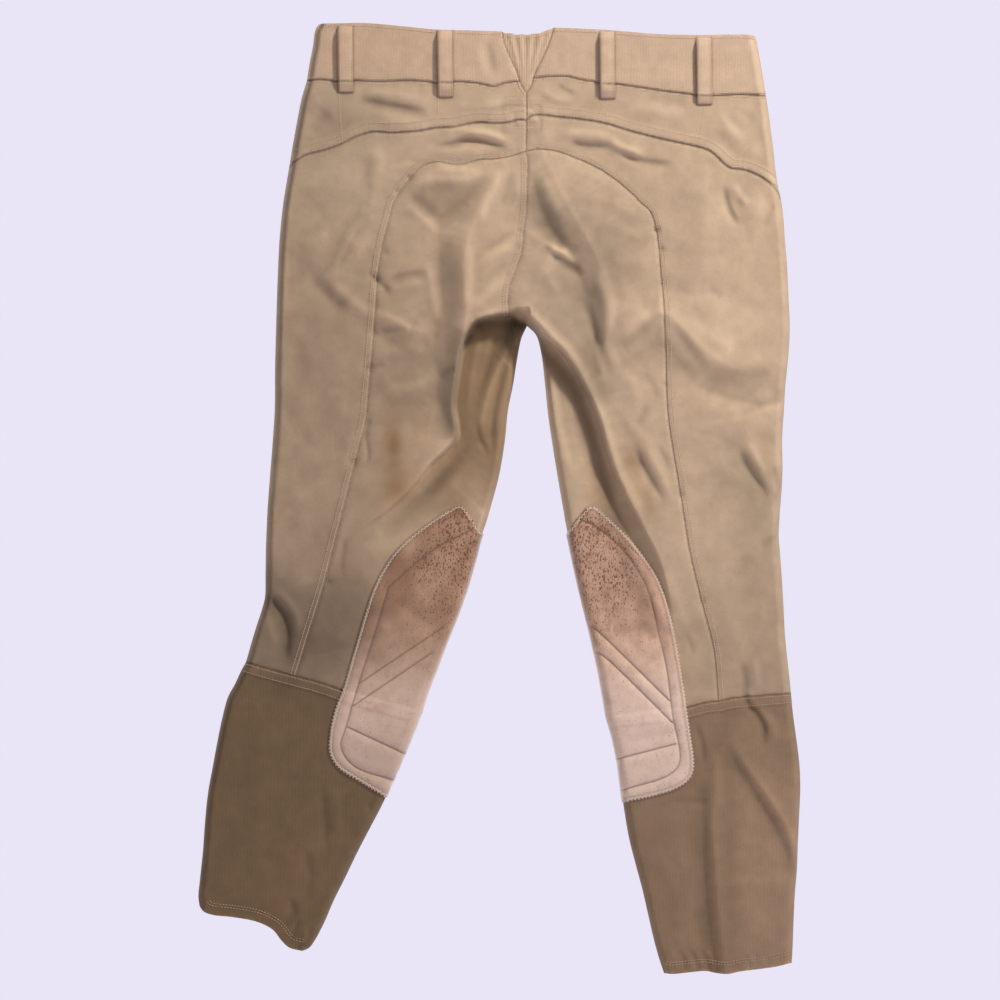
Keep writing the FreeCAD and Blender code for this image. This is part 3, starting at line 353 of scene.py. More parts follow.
# ---------------------------------------------------------------- relief grids
# One cell per pattern unit, from u = GRID_U and v = 0
GRID_U, GRID_W, GRID_H = 170, 660, 1000
CELL_V, CELL_U = np.mgrid[0:GRID_H, 0:GRID_W].astype(np.float64)
CELL_U += GRID_U
BACK = np.zeros((GRID_H, GRID_W))      # relief of the back layer, mm, + towards the viewer
CROWN = np.ones((GRID_H, GRID_W))      # share of the crown height that is left
FRONT = np.zeros((GRID_H, GRID_W))     # relief of the front layer, mm, + outward
PAINTED_SHADING = np.ones((GRID_H, GRID_W))      # painted shade and painted highlights, as a brightness factor
FOLD_GAIN = 0.85


def window(line, pad):
    low, high = line.min(0) - pad, line.max(0) + pad
    return (slice(max(int(low[1]), 0), min(int(high[1]) + 2, GRID_H)),
            slice(max(int(low[0] - GRID_U), 0), min(int(high[0] - GRID_U) + 2, GRID_W)))


def cells_near(line, pad):
    """The cells round a line, with their distance, side and run along it, worked out a few
    segments at a time."""
    cells = window(line, pad)
    shape = CELL_U[cells].shape
    dist, side, run = np.full(shape, 1e9), np.ones(shape), np.zeros(shape)
    start = np.r_[0, np.cumsum(gaps(line))]
    for i in range(0, len(line) - 1, 8):
        part = line[i:i + 9]
        sub = window(part, pad)
        u, v = CELL_U[sub], CELL_V[sub]
        d, s, r = (a.reshape(u.shape)
                   for a in nearest(np.stack([u.ravel(), v.ravel()], -1), part))
        local = tuple(slice(a.start - b.start, a.stop - b.start) for a, b in zip(sub, cells))
        closer = d < dist[local]
        dist[local] = np.where(closer, d, dist[local])
        side[local] = np.where(closer, s, side[local])
        run[local] = np.where(closer, r + start[i], run[local])
    return cells, dist, side, run


def past_ends(dist, run, total):
    """Distance for cells that lie beyond either end of a line, zero for the others."""
    return np.where((run < 1e-6) | (run > total - 1e-6), dist, 0.0)


def fold(line, height, left, right=None, taper=0.3, field=BACK, crease=False, gain=FOLD_GAIN):
    """A ridge (+) or valley (-) along a line. left and right of travel are its half widths;
    height may be a list of heights along the line."""
    line = curve(line, 3.0)
    right = left if right is None else right
    widest = max(left, right)
    cells, dist, side, run = cells_near(line, (4.6 if crease else 2.6) * widest)
    total = length(line)
    if np.ndim(height):
        height = np.interp(run / total, np.linspace(0, 1, len(height)), height)
    height = gain * height
    height = height * smooth(run / (taper * total)) * smooth((total - run) / (taper * total))
    q = dist / np.where(side > 0, right, left)
    profile = np.exp(-np.sqrt(q ** 2 + 0.02) + 0.14) if crease else bell(q)
    field[cells] += height * profile * bell(past_ends(dist, run, total) / (0.7 * widest))


def drop(line, depth, low_side, edge, near_reach, far_reach, share):
    """Lowers the crown on one side of a line, where a cloth edge lies over a deeper layer.
    depth lists shares of the crown along the line."""
    line = curve(line, 3.5)
    cells, dist, side, run = cells_near(line, far_reach * 1.9)
    signed = dist * np.where(side == low_side, 1, -1)
    total = length(line)
    depth = np.interp(run / total, np.linspace(0, 1, len(depth)), depth)
    q = np.clip(signed, 0, None)
    fade = (1 - share) * bell(q / near_reach) + share * bell(q / far_reach)
    lost = depth * smooth(signed / edge + 0.35) * fade
    lost = lost * bell(past_ends(dist, run, total) / 16.0)
    CROWN[cells] = np.minimum(CROWN[cells], 1 - lost)


def pucker(line, on_side, near, far, height, wave, seed):
    """Short wrinkles square to a seam, between two distances from it."""
    cells, dist, side, run = cells_near(line, far + 4)
    rng = np.random.RandomState(seed)
    total = length(line)
    count = int(total / 3) + 8
    knots = np.linspace(0, total, count)
    phase = np.interp(run, knots, np.cumsum(rng.uniform(0.5, 1.5, count)) * 3.0)
    strength = np.interp(run, knots, rng.uniform(-0.35, 1.0, count).clip(0.05, 1.0)) * 0.75
    middle, half = (near + far) / 2, (far - near) / 2 + 1e-6
    profile = np.where(side == on_side, np.clip(1 - ((dist - middle) / half) ** 2, 0, 1), 0)
    BACK[cells] += height * strength * np.sin(2 * math.pi * phase / wave) * profile


def welt(line, on_side, width, height):
    """The raised strip of a seam allowance beside its seam."""
    cells, dist, side, _ = cells_near(line, width + 6)
    BACK[cells] += height * np.where(side == on_side, smooth((width + 1.2 - dist) / 2.4), 0)


def shade(line, factor, left, right=None):
    """Paints shade (factor < 1) or light onto the cloth along a line."""
    line = curve(line, 3.0)
    right = left if right is None else right
    widest = max(left, right)
    cells, dist, side, run = cells_near(line, 2.4 * widest)
    past = past_ends(dist, run, length(line))
    across = bell(dist / np.where(side > 0, right, left))
    PAINTED_SHADING[cells] *= 1 - (1 - factor) * across * bell(past / (0.6 * widest))


def noise(cell, seed):
    """Smooth value noise over the grid."""
    rng = np.random.RandomState(seed)
    g = rng.uniform(-1, 1, (int(GRID_H / cell) + 4, int(GRID_W / cell) + 4))
    y, x = CELL_V / cell, (CELL_U - GRID_U) / cell
    i, j = y.astype(int), x.astype(int)
    fy, fx = smooth(y - i), smooth(x - j)
    return (g[i, j] * (1 - fy) * (1 - fx) + g[i + 1, j] * fy * (1 - fx)
            + g[i, j + 1] * (1 - fy) * fx + g[i + 1, j + 1] * fy * fx)


def creased(cell, seed, power):
    """Thin soft ridges that run every way."""
    a, b = noise(cell, seed), noise(cell * 0.55, seed + 50)
    return (1 - np.abs(a)) ** power * (0.6 + 0.4 * b)


def blurred(field, sigma):
    reach = int(3 * sigma) + 1
    weights = np.exp(-0.5 * (np.arange(-reach, reach + 1) / sigma) ** 2)
    weights /= weights.sum()
    for axis in (0, 1):
        h, w = field.shape
        pad = [(reach, reach) if a == axis else (0, 0) for a in (0, 1)]
        wide = np.pad(field, pad, mode="edge")
        field = sum(k * (wide[i:i + h, :] if axis == 0 else wide[:, i:i + w])
                    for i, k in enumerate(weights))
    return field


def planes(text):
    """Flat facets stretched between fold lines. Each row is a line of "u,v,height in mm"; a
    point without a height lies at 0."""
    places, edges, heights = [], [], []
    for row, _ in table(text):
        line = np.array([p if len(p) == 3 else p + (0.0,) for p in row])
        run = np.r_[0, np.cumsum(np.hypot(*np.diff(line[:, :2], axis=0).T))]
        count = max(int(run[-1] / 7.0), 1)
        t = np.unique(np.r_[np.linspace(0, run[-1], count + 1), run])
        dense = np.stack([np.interp(t, run, line[:, k]) for k in range(3)], 1)
        first = len(places)
        places += [(float(a), float(b)) for a, b in dense[:, :2]]
        heights += dense[:, 2].tolist()
        edges += [(first + i, first + i + 1) for i in range(len(dense) - 1)]
    found, _, triangles, origins, _, _ = geometry.delaunay_2d_cdt(
        [Vector(p) for p in places], edges, [], 0, 1e-4)
    base = np.array(places)
    level = []
    for p, origin in zip(found, origins):
        k = origin[0] if len(origin) else int(
            np.argmin((base[:, 0] - p[0]) ** 2 + (base[:, 1] - p[1]) ** 2))
        level.append(heights[k])
    out = np.zeros((GRID_H, GRID_W))
    for f in triangles:
        (x0, y0), (x1, y1), (x2, y2) = [(found[i][0] - GRID_U, found[i][1]) for i in f]
        det = (x1 - x0) * (y2 - y0) - (x2 - x0) * (y1 - y0)
        if abs(det) < 1e-6:
            continue
        i0, i1 = max(int(min(y0, y1, y2)), 0), min(int(max(y0, y1, y2)) + 2, GRID_H)
        j0, j1 = max(int(min(x0, x1, x2)), 0), min(int(max(x0, x1, x2)) + 2, GRID_W)
        y, x = np.mgrid[i0:i1, j0:j1]
        b1 = ((x - x0) * (y2 - y0) - (x2 - x0) * (y - y0)) / det
        b2 = ((x1 - x0) * (y - y0) - (x - x0) * (y1 - y0)) / det
        hit = (b1 >= -1e-6) & (b2 >= -1e-6) & (b1 + b2 <= 1 + 1e-6)
        h = level[f[0]] * (1 - b1 - b2) + level[f[1]] * b1 + level[f[2]] * b2
        out[i0:i1, j0:j1] = np.where(hit, h, out[i0:i1, j0:j1])
    return blurred(out, 1.3)


# ---------------------------------------------------------------- broad relief
# general softness of used cloth
BACK += 0.55 * noise(46, 1) + 0.28 * noise(21, 2) + 0.10 * noise(9, 3)
BACK += 0.8 * noise(90, 4)
FRONT += 0.7 * noise(70, 5) + 0.35 * noise(30, 6) + 0.08 * noise(10, 8)

SEAT_PLANES = """
# outline and seams stay put
293,162 284,220 278,280 277,340 275,400 273,470 270,540 268,586
268,586 300,580 350,560 390,538
780,195 786,260 788,330 787,385 783,440 783,500 781,540 783,590
783,590 740,586 690,580 660,560 640,524
293,162 310,150 345,137 370,131 400,128 437,124 470,119 500,117 526,121 545,117 570,119 600,123 \
  640,133 668,142 698,148 720,162 740,172 765,182 780,195
526,121,0 526,167,-0.7 524,206,-0.8 522,244,-0.8 517,271,-0.8 509,298,-0.4 511,314,1.2
# left: the seam over the seat panel
520,152 490,160 460,162 437,160 416,168 401,186 395,202 390,221 384,244 376,275 373,306 372,337 \
  371,368 368,398 361,429 353,470 341,520
# left seat panel: the hollow under the seam, the long dark plane, the crest to the crotch
412,188,0.8 426,176,2.8 442,170,4.2 462,171,4.2 480,173,2.6 500,174,1.5
480,181,1.6 462,201,-1.4 440,219,-2.6 424,215,-1.6 408,206,-0.4
440,219,-2.6 438,232,0.6 439.5,244,0.2 439,267,0.0 442,306,-0.4 434,337,-0.4 434,360,-0.4 \
  440,375,0.0 436,391,0.0 447,422,0.2 454,432,1.0
490,184,2.4 478,208,4.4 468,237,5.2 462,262,5.8 464,287,6.4 467,308,6.0 463,337,5.6 459,375,5.0 \
  456,410,3.6 454,432,1.0
511,314,1.2 494,317,2.2 478,321,3.0 468,329,4.6 463,337,5.6
426,226,1.6 428,260,1.6 424,300,1.2 408,336,0.6
376,308,0.2 392,318,2.2 408,328,2.6 428,333,1.4
378,334,-0.4 396,346,-1.2 414,358,-1.2 430,362,-0.4
382,392,0.8 406,388,1.8 430,380,1.2
# left leg: the crease from the rolled edge down to the knee and the hollow beside it
454,432,1.0 440,458,1.8 427,473,2.2 408,490,2.0 390,503,1.6 364,527,0.2
466,446,-2.4 450,474,-3.0 430,494,-3.0 410,512,-2.2 388,530,-0.6
524,345 517,380 508,420 503,450 495,480 487,510 478,530
# left outer panel
373,140,0.2 372,165,1.5 371,195,1.7 367,222,0.6
358,224,0.6 350,240,1.8 342,256,1.8 334,268,0.4
346,226,-0.8 336,246,-1.0 330,262,-1.0
306,284,-0.6 320,290,-1.4 330,302,-1.2 344,316,0.4
300,400,0.4 310,440,1.0 318,480,0.4
# right: the seam over the seat panel, above and below the long cross fold
524,151 544,149 572,156 600,170 620,186 636,200 648,214 656,230 659,258 661,284
668,424 674,470 684,520 697,575
# right seat panel: the pocket by the centre seam, the crest beside it, the valley down to the
# crotch edge
529,168,0.4 534,184,-1.8 540,206,-3.6 549,226,-4.6 561,243,-5.0 569,251,-3.4
545,243,0.4 553,248,1.4 562,253,1.0 569,251,-3.4
546,160,1.6 556,182,3.0 568,206,3.4 584,232,3.0 598,258,3.4 608,284,4.6 614,304,5.0 610,326,3.6 \
  604,346,2.2 602,372,1.6 612,404,1.2
574,258,-1.6 582,280,-1.2 590,306,-1.2 598,332,-0.6 592,350,-0.6 596,372,0.0
540,262,0.6 556,288,2.0 566,312,2.6 574,336,2.4
511,314,1.2 524,311,2.0 533,322,2.2 543,334,2.2 560,349,2.6 572,365,2.8 583,384,2.8 597,414,2.4 \
  609,456,2.0 621,486,1.6 640,524,0.0
532,346 546,380 552,420 558,460 564,490 570,530
# the fold that runs across the seat and the outer panel
613,346,0.6 626,334,2.8 644,319,4.4 658,310,5.2 671,315,5.2 684,330,4.6 700,347,3.8 728,367,3.2 \
  752,372,2.8 784,360,0.8
622,366,-0.4 644,352,-1.2 660,345,-1.4 676,358,-1.6 694,384,-1.8 728,398,-2.2 760,405,-1.6 \
  785,400,-0.2
696,430,0.8 718,424,2.0 744,419,2.6 766,411,2.6 784,404,0.8
# right outer panel
704,160,0.6 706,210,1.4 702,260,1.4 694,296,0.8
742,186,-0.4 738,206,-1.0 744,226,-0.4
752,196,0.8 756,226,1.4 752,258,0.6
738,447,-0.4 747,462,-1.4 758,482,-1.6 768,498,-0.4
748,442,0.6 758,462,1.4 770,486,0.8
634,444,-0.2 642,462,-1.4 652,480,-1.2 664,500,0.0
646,440,0.6 656,462,1.2 668,484,0.6
"""
CUFF_PLANES = """
622,700 700,700 740,704 792,700
622,800 634,860 648,920 664,985
792,700 797,730 800,780 798,840 796,880 794,960 792,985
664,985,0 700,984,0.4 716,982,0.2 727,982,4.2 750,980,2.0 792,985,0
700,770,0.4 704,800,0.0 703,860,-0.6 706,900,-0.8 711,941,-0.8 716,982,0.2
716,770,1.0 712.5,802,2.8 712,831,4.2 715,860,4.6 718,900,4.6 722,941,4.4 727,982,4.2
724,744,1.6 738,768,-0.4 752,790,-1.6 772,822,-2.4 795,868,-2.0
733,742,2.4 748,768,2.6 764,790,2.6 782,818,2.2 797,846,0.8
676,730,0.6 672,800,1.6 684,870,1.8 694,940,1.2
"""
BACK += planes(SEAT_PLANES) * smooth((CELL_V - 118) / 10)
BACK += planes(CUFF_PLANES) * smooth((CELL_V - 712) / 12) * (CELL_U > 600)

# points | height, half widths to the left and right of travel
BROAD_RIDGES = """
560,138 592,132 620,140 650,158 | 1.6 16 9
380,282 404,272 432,268 | 1.6 26 6
302,236 318,262 334,284 352,300 | 1.8 26 12
322,150 330,210 326,260 | 1.4 24 36
560,420 580,470 600,520 | 1.6 14 20
700,200 708,250 700,300 | 1.5 40 34
300,560 306,600 318,650 | 1.6 14 26
720,560 730,620 744,680 | 1.6 26 20
440,133 470,129 505,139 | 1.6 5 9
"""
for line, values in table(BROAD_RIDGES):
    fold(line, *values, taper=0.25, gain=1.0)

# fine creases of worn cloth, stronger on the seat and the upper legs
WORN = smooth((CELL_V - 80) / 40) * (1 - 0.55 * smooth((CELL_V - 640) / 60))
BACK += WORN * (0.22 * creased(38, 61, 4.0) - 0.16 * creased(30, 62, 5.0)
                + 0.8 * blurred(noise(34, 65), 3.0) + 0.35 * blurred(noise(17, 66), 2.0))
FRONT += WORN * (0.25 * creased(40, 71, 4.0) - 0.2 * creased(30, 72, 5.0)
                 + 0.8 * blurred(noise(34, 73), 3.0))
# the waistband lies flatter
BACK *= 1 - 0.65 * smooth((92 - CELL_V) / 14)

# ---------------------------------------------------------------- folds
# points | height, half width to the left of travel (and to the right, where it differs)
BACK_FOLDS = """
# waistband
486,40 490,56 493,78 | -1.2 4 6
478,38 481,60 484,80 | 0.6 5
398,30 402,50 404,76 | -0.35 6
640,36 645,60 650,84 | -0.35 7
# yoke
352,100 372,103 400,108 432,114 | -3.6 4.4 6
358,116 390,119 424,121 | 1.0 6
360,92 400,95 430,99 | 0.7 4
330,110 318,124 308,136 | -1.1 8
326,100 340,126 | 0.6 6
452,98 470,108 494,104 512,97 | 0.9 5
462,112 486,112 508,107 | -0.7 4
556,83 563,90 575,95 | -1.2 3
540,88 552,97 572,101 | 0.9 4
620,108 655,110 690,118 | 0.9 6
640,98 668,101 692,107 | -0.7 5
718,112 732,130 748,146 | 1.0 5
712,126 726,142 742,156 | -0.7 5
745,108 756,130 764,150 | -0.7 6
# seat, left
455,133 478,133.5 500,138 513,146 | 2.3 4 4
428,146 448,145 466,140 484,141 500,147 511,153 | -3.2 3.0 4.5
432,152 460,151 490,150 | 0.9 4
381,146 378,170 374,196 | 1.2 8
368,150 366,175 362,200 | -0.9 8
383,171 401,166 420,163 | 0.7 3
398,187 430,181 462,180 484,179 | 2.0 4.5 6
404,197 425,206 440,222 | -1.3 6
402,206 422,216 436,232 | 1.2 5
500,165 494,184 484,206 476,228 | 1.5 5 6
512,168 506,190 498,212 | -1.0 4
520,176 514,206 506,226 | 0.8 4
428,250 430,280 434,306 440,330 | 1.2 5
466,236 468,268 466,296 464,318 | 2.2 6 7
519,229 506,236 492,246 478,254 | -1.5 4
516,246 498,252 482,262 470,270 | 1.7 5
512,262 494,272 478,286 | -1.1 4
509,276 494,288 478,302 470,314 | 1.6 6
366,270 374,278 384,287 392,296 | -1.8 3 4
380,284 402,276 430,272 | -1.9 3.5 4.5
384,292 404,286 428,282 | 1.2 4
364,224 352,240 343,258 333,272 | -1.1 3.2
372,226 362,246 352,266 | 0.8 5
304,282 320,286 332,298 348,316 | -1.7 7
322,278 345,294 364,310 386,318 408,328 428,336 | 1.7 6 7
300,250 316,240 332,236 | 0.6 7
376,333 392,331 404,328 | -1.1 4
366,350 400,352 428,346 | 0.9 8
458,368 446,372 436,380 | -1.4 4
360,372 372,366 388,366 | -1.0 4
378,392 404,388 432,380 | 1.1 6
372,404 404,404 436,398 | -0.8 7
296,330 300,360 298,400 | -0.8 10
322,330 328,370 326,410 | 0.8 12
284,410 300,430 312,452 | -0.6 8
# seat, right
540,168 548,192 560,214 574,232 | 1.7 7
545,243 553,248 562,252 570,248 | 2.4 3.4
548,251 562,262 574,270 584,279 | -3.4 5
540,262 548,280 560,296 | 0.9 6
576,288 584,304 592,323 599,344 606,366 614,386 | -2.3 5
598,262 600,282 606,302 606,322 600,342 | 2.6 6
612,270 618,290 622,312 | -0.8 6
560,160 580,170 606,182 630,198 | 0.7 5
566,143 590,146 612,146 | -2.4 3.4 4.4
552,132 580,135 604,138 620,142 | 1.4 5
606,138 618,146 632,152 646,156 | 2.2 4
618,150 636,160 660,164 676,164 | -2.6 3.6 4.6
560,156 584,158 606,164 | 0.6 4
592,200 614,214 636,226 652,240 | -1.1 8
604,228 626,240 648,250 | -0.9 8
608,262 634,262 656,264 | 0.9 8
612,350 632,340 652,322 | -1.8 6 8
618,330 634,322 650,312 | 1.2 7
668,318 680,336 694,354 712,372 | -1.4 6
680,312 700,330 722,344 744,352 | 1.1 8
724,182 726,200 732,216 741,228 | -2.4 3.2
732,184 740,196 750,208 | 1.6 4.5
776,200 768,216 762,230 | -1.0 3
758,190 760,206 756,222 | 0.8 5
706,290 714,293 723,298 | -0.8 4
690,384 720,384 750,378 778,372 | -2.7 12 12
676,356 710,358 744,362 780,358 | 1.7 10
716,418 742,406 766,400 782,400 | 2.2 8
690,300 730,306 770,306 | 0.6 12
700,240 730,250 760,246 | -0.5 12
640,372 652,386 658,404 | -1.0 5
624,366 634,388 640,412 | 0.8 6
648,404 640,420 634,430 | -1.0 4
# beside the rolled cloth edges at the crotch
470,322 486,314 502,309 511,306 | 1.6 3.5
512,322 507,346 497,370 488,394 481,424 484,456 | 2.2 3.5 4.5
498,330 492,352 484,380 472,410 | -1.8 4
482,328 476,352 470,386 466,420 | 1.3 4
508,356 500,384 494,412 492,440 494,462 | -1.8 3.2
478,420 480,438 490,458 | -1.5 3
516,350 510,384 504,420 | 1.0 4
562,372 574,404 588,440 598,474 | 1.3 6
556,366 560,400 568,440 578,474 | -1.2 5
470,452 452,482 430,508 | 1.0 7
# left leg below the seat
372,408 366,436 368,456 362,470 | -1.5 2.6
346,536 342,556 341,576 | -1.2 3
356,420 348,450 340,480 | 1.0 5
352,500 340,540 328,580 | 0.8 5
384,420 392,450 390,484 | -0.5 9
270,588 284,598 296,616 299,640 | 1.6 5
262,612 270,628 274,648 | 1.3 5
300,480 304,520 300,560 | 0.7 12
318,560 306,600 300,640 | -0.5 8
300,512 330,560 | -0.5 8
# right leg below the seat
634,444 640,460 648,476 666,505 | -1.8 3
640,438 650,458 662,480 676,506 | 0.9 4
656,444 664,458 670,474 | -1.0 3
738,444 742,458 750,472 762,488 768,500 | -1.6 3.5
746,440 754,458 766,476 | 1.0 5
772,462 778,482 777,496 770,508 | -1.6 3
779,534 768,542 760,552 | -1.2 4
700,520 720,560 730,600 | 0.7 12
740,560 752,600 764,640 | -0.7 12
660,560 676,600 690,648 | 0.8 6
742,662 745,680 748,694 | -1.6 3.4
754,656 756,676 757,692 | 0.9 4
684,632 690,644 694,658 | -0.8 3
# cuffs
742,676 748,704 757,714 764,729 762,752 | -2.6 3.2 4
752,706 770,722 774,748 | 1.2 5
694,722 702,744 704,768 | -1.5 3.4
714,745 717,782 716,812 | 1.3 6
664,800 690,802 712,802 | -0.8 4
700,900 702,930 706,956 | -0.9 6
660,840 672,880 684,930 | 0.8 9
322,782 325,820 326,858 | -1.3 4
334,780 338,816 338,848 | 0.8 5
306,846 310,880 306,904 | -1.2 5
270,700 264,760 258,830 254,880 | 0.8 12
288,896 294,912 286,926 277,930 | -1.8 4
300,918 294,932 289,945 | -1.6 2.6
306,924 304,940 303,950 | 1.2 3
378,796 370,806 372,814 | -1.2 3
# round the knee patches
352,640 392,634 440,618 | -1.0 6
346,716 380,710 418,700 | -0.9 6
600,640 640,628 664,640 | -1.2 6
618,742 650,736 688,728 | -1.1 6
640,590 656,620 670,648 | -1.6 6
648,586 664,614 676,640 | 1.0 6
390,600 420,618 440,640 | -1.0 6
600,600 628,640 650,668 | -0.8 6
"""
for line, values in table(BACK_FOLDS):
    fold(line, *values)

# gathers of the gusset, which run together towards its point
for k, u in enumerate((505, 510, 515, 520, 525.5, 531, 536.5, 542, 547)):
    fold([(u, 31 + 2 * (k % 2)), (u + (526 - u) * 0.45, 62), (526 + (u - 526) * 0.2, 86)],
         0.6 if k % 2 else -0.6, 2.3, taper=0.12)
# short creases at the right hem
for k, u in enumerate((676, 684, 690, 696, 701, 707, 712)):
    fold([(u - 5, 950), (u, 962), (u + 2, 973)], -0.8 if k % 2 else 0.5, 1.8, taper=0.2)
for u in (748, 758, 768):
    fold([(u - 3, 954), (u, 962), (u + 2, 968)], -0.5, 1.8, taper=0.2)
# sharp creases on the left leg: below the rolled edge, and at the side above the knee
fold(points("460,450 442,476 418,500 392,520"), -2.6, 9, 5, crease=True)
fold(points("263,590 274,602 283,614 288,632 286,664"), -4.6, 4, 5, crease=True, taper=0.2)
# the roll of the right crotch edge
fold(points("520,303 534,318 552,336 572,356 588,384 604,424 616,462 630,494 652,540"),
     [1.0, 1.8, 1.8, 1.6, 1.4, 1.4, 1.2, 0.8, 0.2], 5, 4, 0.05)

# the cloth edge that rolls over at the crotch, each side, and its depth along the edge
EDGE_LEFT = points("""510,313 500,315.5 489,317.5 476,322 466,335 460.5,352 456.5,378 453.5,405
    456.5,437 447,449 431,464 411,489 386,512 356,532""")
EDGE_RIGHT = points("""510,313 516,309.5 524,311.5 533,322 543,334 560,349 572,365 583,384
    597,414 609,456 621,486 640,524 658,560 668,596 677,640""")
drop(EDGE_LEFT, [0.62, 0.62, 0.60, 0.56, 0.52, 0.50, 0.47, 0.40, 0.28, 0.20, 0.13, 0.07, 0.0],
     low_side=-1, edge=2.6, near_reach=30, far_reach=120, share=0.8)
CROWN[:, CELL_U[0] > 528] = 1.0      # the left drop ends at the centre
drop(EDGE_RIGHT,
     [0.62, 0.62, 0.60, 0.55, 0.50, 0.47, 0.45, 0.43, 0.40, 0.34, 0.25, 0.14, 0.05, 0.0],
     low_side=1, edge=3.2, near_reach=20, far_reach=50, share=0.45)

# ---------------------------------------------------------------- seam relief
# line, side, width, height
for row in ((YOKE_LEFT, -1, 11, 0.75), (YOKE_RIGHT, -1, 10, 0.75),
            (ARC_LEFT[0], 1, 6, 0.22), (ARC_LEFT[1], 1, 6, 0.22),
            (ARC_RIGHT[0], -1, 6, 0.22), (ARC_RIGHT[1], -1, 6, 0.22),
            (KNEE_LINES[0], 1, 11, 0.7), (KNEE_LINES[1], 1, 11, 0.7)):
    welt(*row)
# line, side, nearest and farthest distance, height, wave, seed
for row in ((YOKE_LEFT, -1, 1, 12, 0.34, 5.6, 11), (YOKE_RIGHT, -1, 1, 11, 0.22, 6.4, 12),
            (YOKE_LEFT, 1, 1, 9, 0.18, 7.0, 13),
            (ARC_LEFT[0], 1, 0.5, 9, 0.38, 7.0, 14), (ARC_LEFT[0], -1, 0.5, 9, 0.30, 7.0, 15),
            (ARC_LEFT[1], 1, 0.5, 8, 0.22, 8.0, 16),
            (ARC_RIGHT[0], -1, 0.5, 9, 0.22, 8.0, 17), (ARC_RIGHT[0], 1, 0.5, 9, 0.28, 8.0, 18),
            (ARC_RIGHT[1], -1, 0.5, 8, 0.2, 8.0, 19),
            (CENTRE[2], 1, 0.5, 8, 0.34, 7.0, 20), (CENTRE[2], -1, 0.5, 9, 0.30, 8.0, 21),
            (WAIST_LEFT, 1, 1, 6, 0.18, 5.0, 22), (WAIST_RIGHT, 1, 1, 6, 0.16, 5.0, 23),
            (WAIST_LEFT, -1, 1, 8, 0.14, 4.0, 24), (WAIST_RIGHT, -1, 1, 8, 0.14, 4.0, 25),
            (KNEE_LINES[0], 1, 1, 14, 0.42, 5.0, 30), (KNEE_LINES[1], 1, 1, 14, 0.42, 5.0, 31),
            (HEM_LEFT, -1, 1, 12, 0.30, 5.5, 32), (HEM_LEFT, 1, 1, 12, 0.30, 5.5, 36),
            (HEM_RIGHT, -1, 1, 12, 0.30, 5.5, 33), (HEM_RIGHT, 1, 1, 12, 0.30, 5.5, 37)):
    pucker(*row)

# dimples where the seam thread pulls: place | height, radius
DIMPLES = """
656,230 | -2.0 3.4
662,250 | -1.4 3.6
409,178 | -1.6 3.0
397,191 | -1.4 3.0
376.5,278 | -1.6 4.0
374,333 | -1.3 4.0
370,369 | -1.5 4.5
385,252 | -0.9 3.5
353,462 | -1.4 4.0
328,582 | -1.0 3.5
681,495 | -1.2 4.0
703,601 | -1.1 4.0
664,385 | -1.0 4.0
519,248 | -1.0 3.0
520,231 | -1.0 3.0
"""
for ((u, v),), (height, radius) in table(DIMPLES):
    cells = window(as_points([(u, v)]), 14)
    square = (CELL_U[cells] - u) ** 2 + (CELL_V[cells] - v) ** 2
    BACK[cells] += height * np.exp(-square / radius ** 2)

# ---------------------------------------------------------------- painted shade and highlights
# points | brightness factor, half width to the left of travel (and to the right)
PAINTED_SHADING_LINES = """
464,452 446,480 424,504 398,524 | 0.84 16 7
470,335 461,352 457,378 454,405 457,437 | 0.66 3 16
478,321 492,318 508,316 524,326 | 0.55 3 14
512,322 508,340 500,356 | 0.62 9
541,352 556,366 572,388 584,416 597,456 606,487 622,535 640,585 655,632 | 0.72 5 13
520,200 536,214 552,236 | 0.80 20
576,200 596,240 612,290 | 0.84 26
600,232 628,262 | 0.88 34
384,380 436,390 | 0.86 40
760,470 730,480 | 0.92 36
330,118 300,140 | 0.88 30
352,600 340,650 300,640 | 0.84 40
740,345 700,300 | 1.10 34
720,575 690,540 | 1.08 44
632,470 640,500 | 1.10 14
500,380 480,440 460,480 | 1.16 22
640,330 610,300 | 1.06 18
518,322 531,330 541,352 | 0.7 7
449,246 451,262 454,300 449,350 446,400 451,432 | 0.80 11 9
420,196 448,200 462,214 | 0.86 18
440,200 456,196 | 0.90 34
538,190 548,220 560,244 | 0.82 13
560,268 574,300 590,350 600,396 | 0.80 20
640,352 664,350 700,372 | 0.90 16
600,250 590,300 600,380 | 0.92 40
340,112 400,112 | 0.90 26
420,270 400,400 | 0.95 50
276,590 290,660 | 0.74 52
330,320 320,420 | 0.90 60
300,900 280,860 | 1.08 60
760,480 764,560 | 0.92 40
352,580 330,650 | 0.86 40
330,440 330,540 | 0.93 60
740,470 750,620 750,690 | 0.90 46
640,420 650,520 | 0.95 44
720,380 780,386 | 0.93 26
262,600 284,616 289,662 | 0.80 8
"""
for line, values in table(PAINTED_SHADING_LINES):
    shade(line, *values)
# painted shade in the hollows of the relief, painted highlight on its crests
PAINTED_SHADING *= 1 + np.clip(0.085 * (BACK - blurred(BACK, 6.0)), -0.17, 0.05)

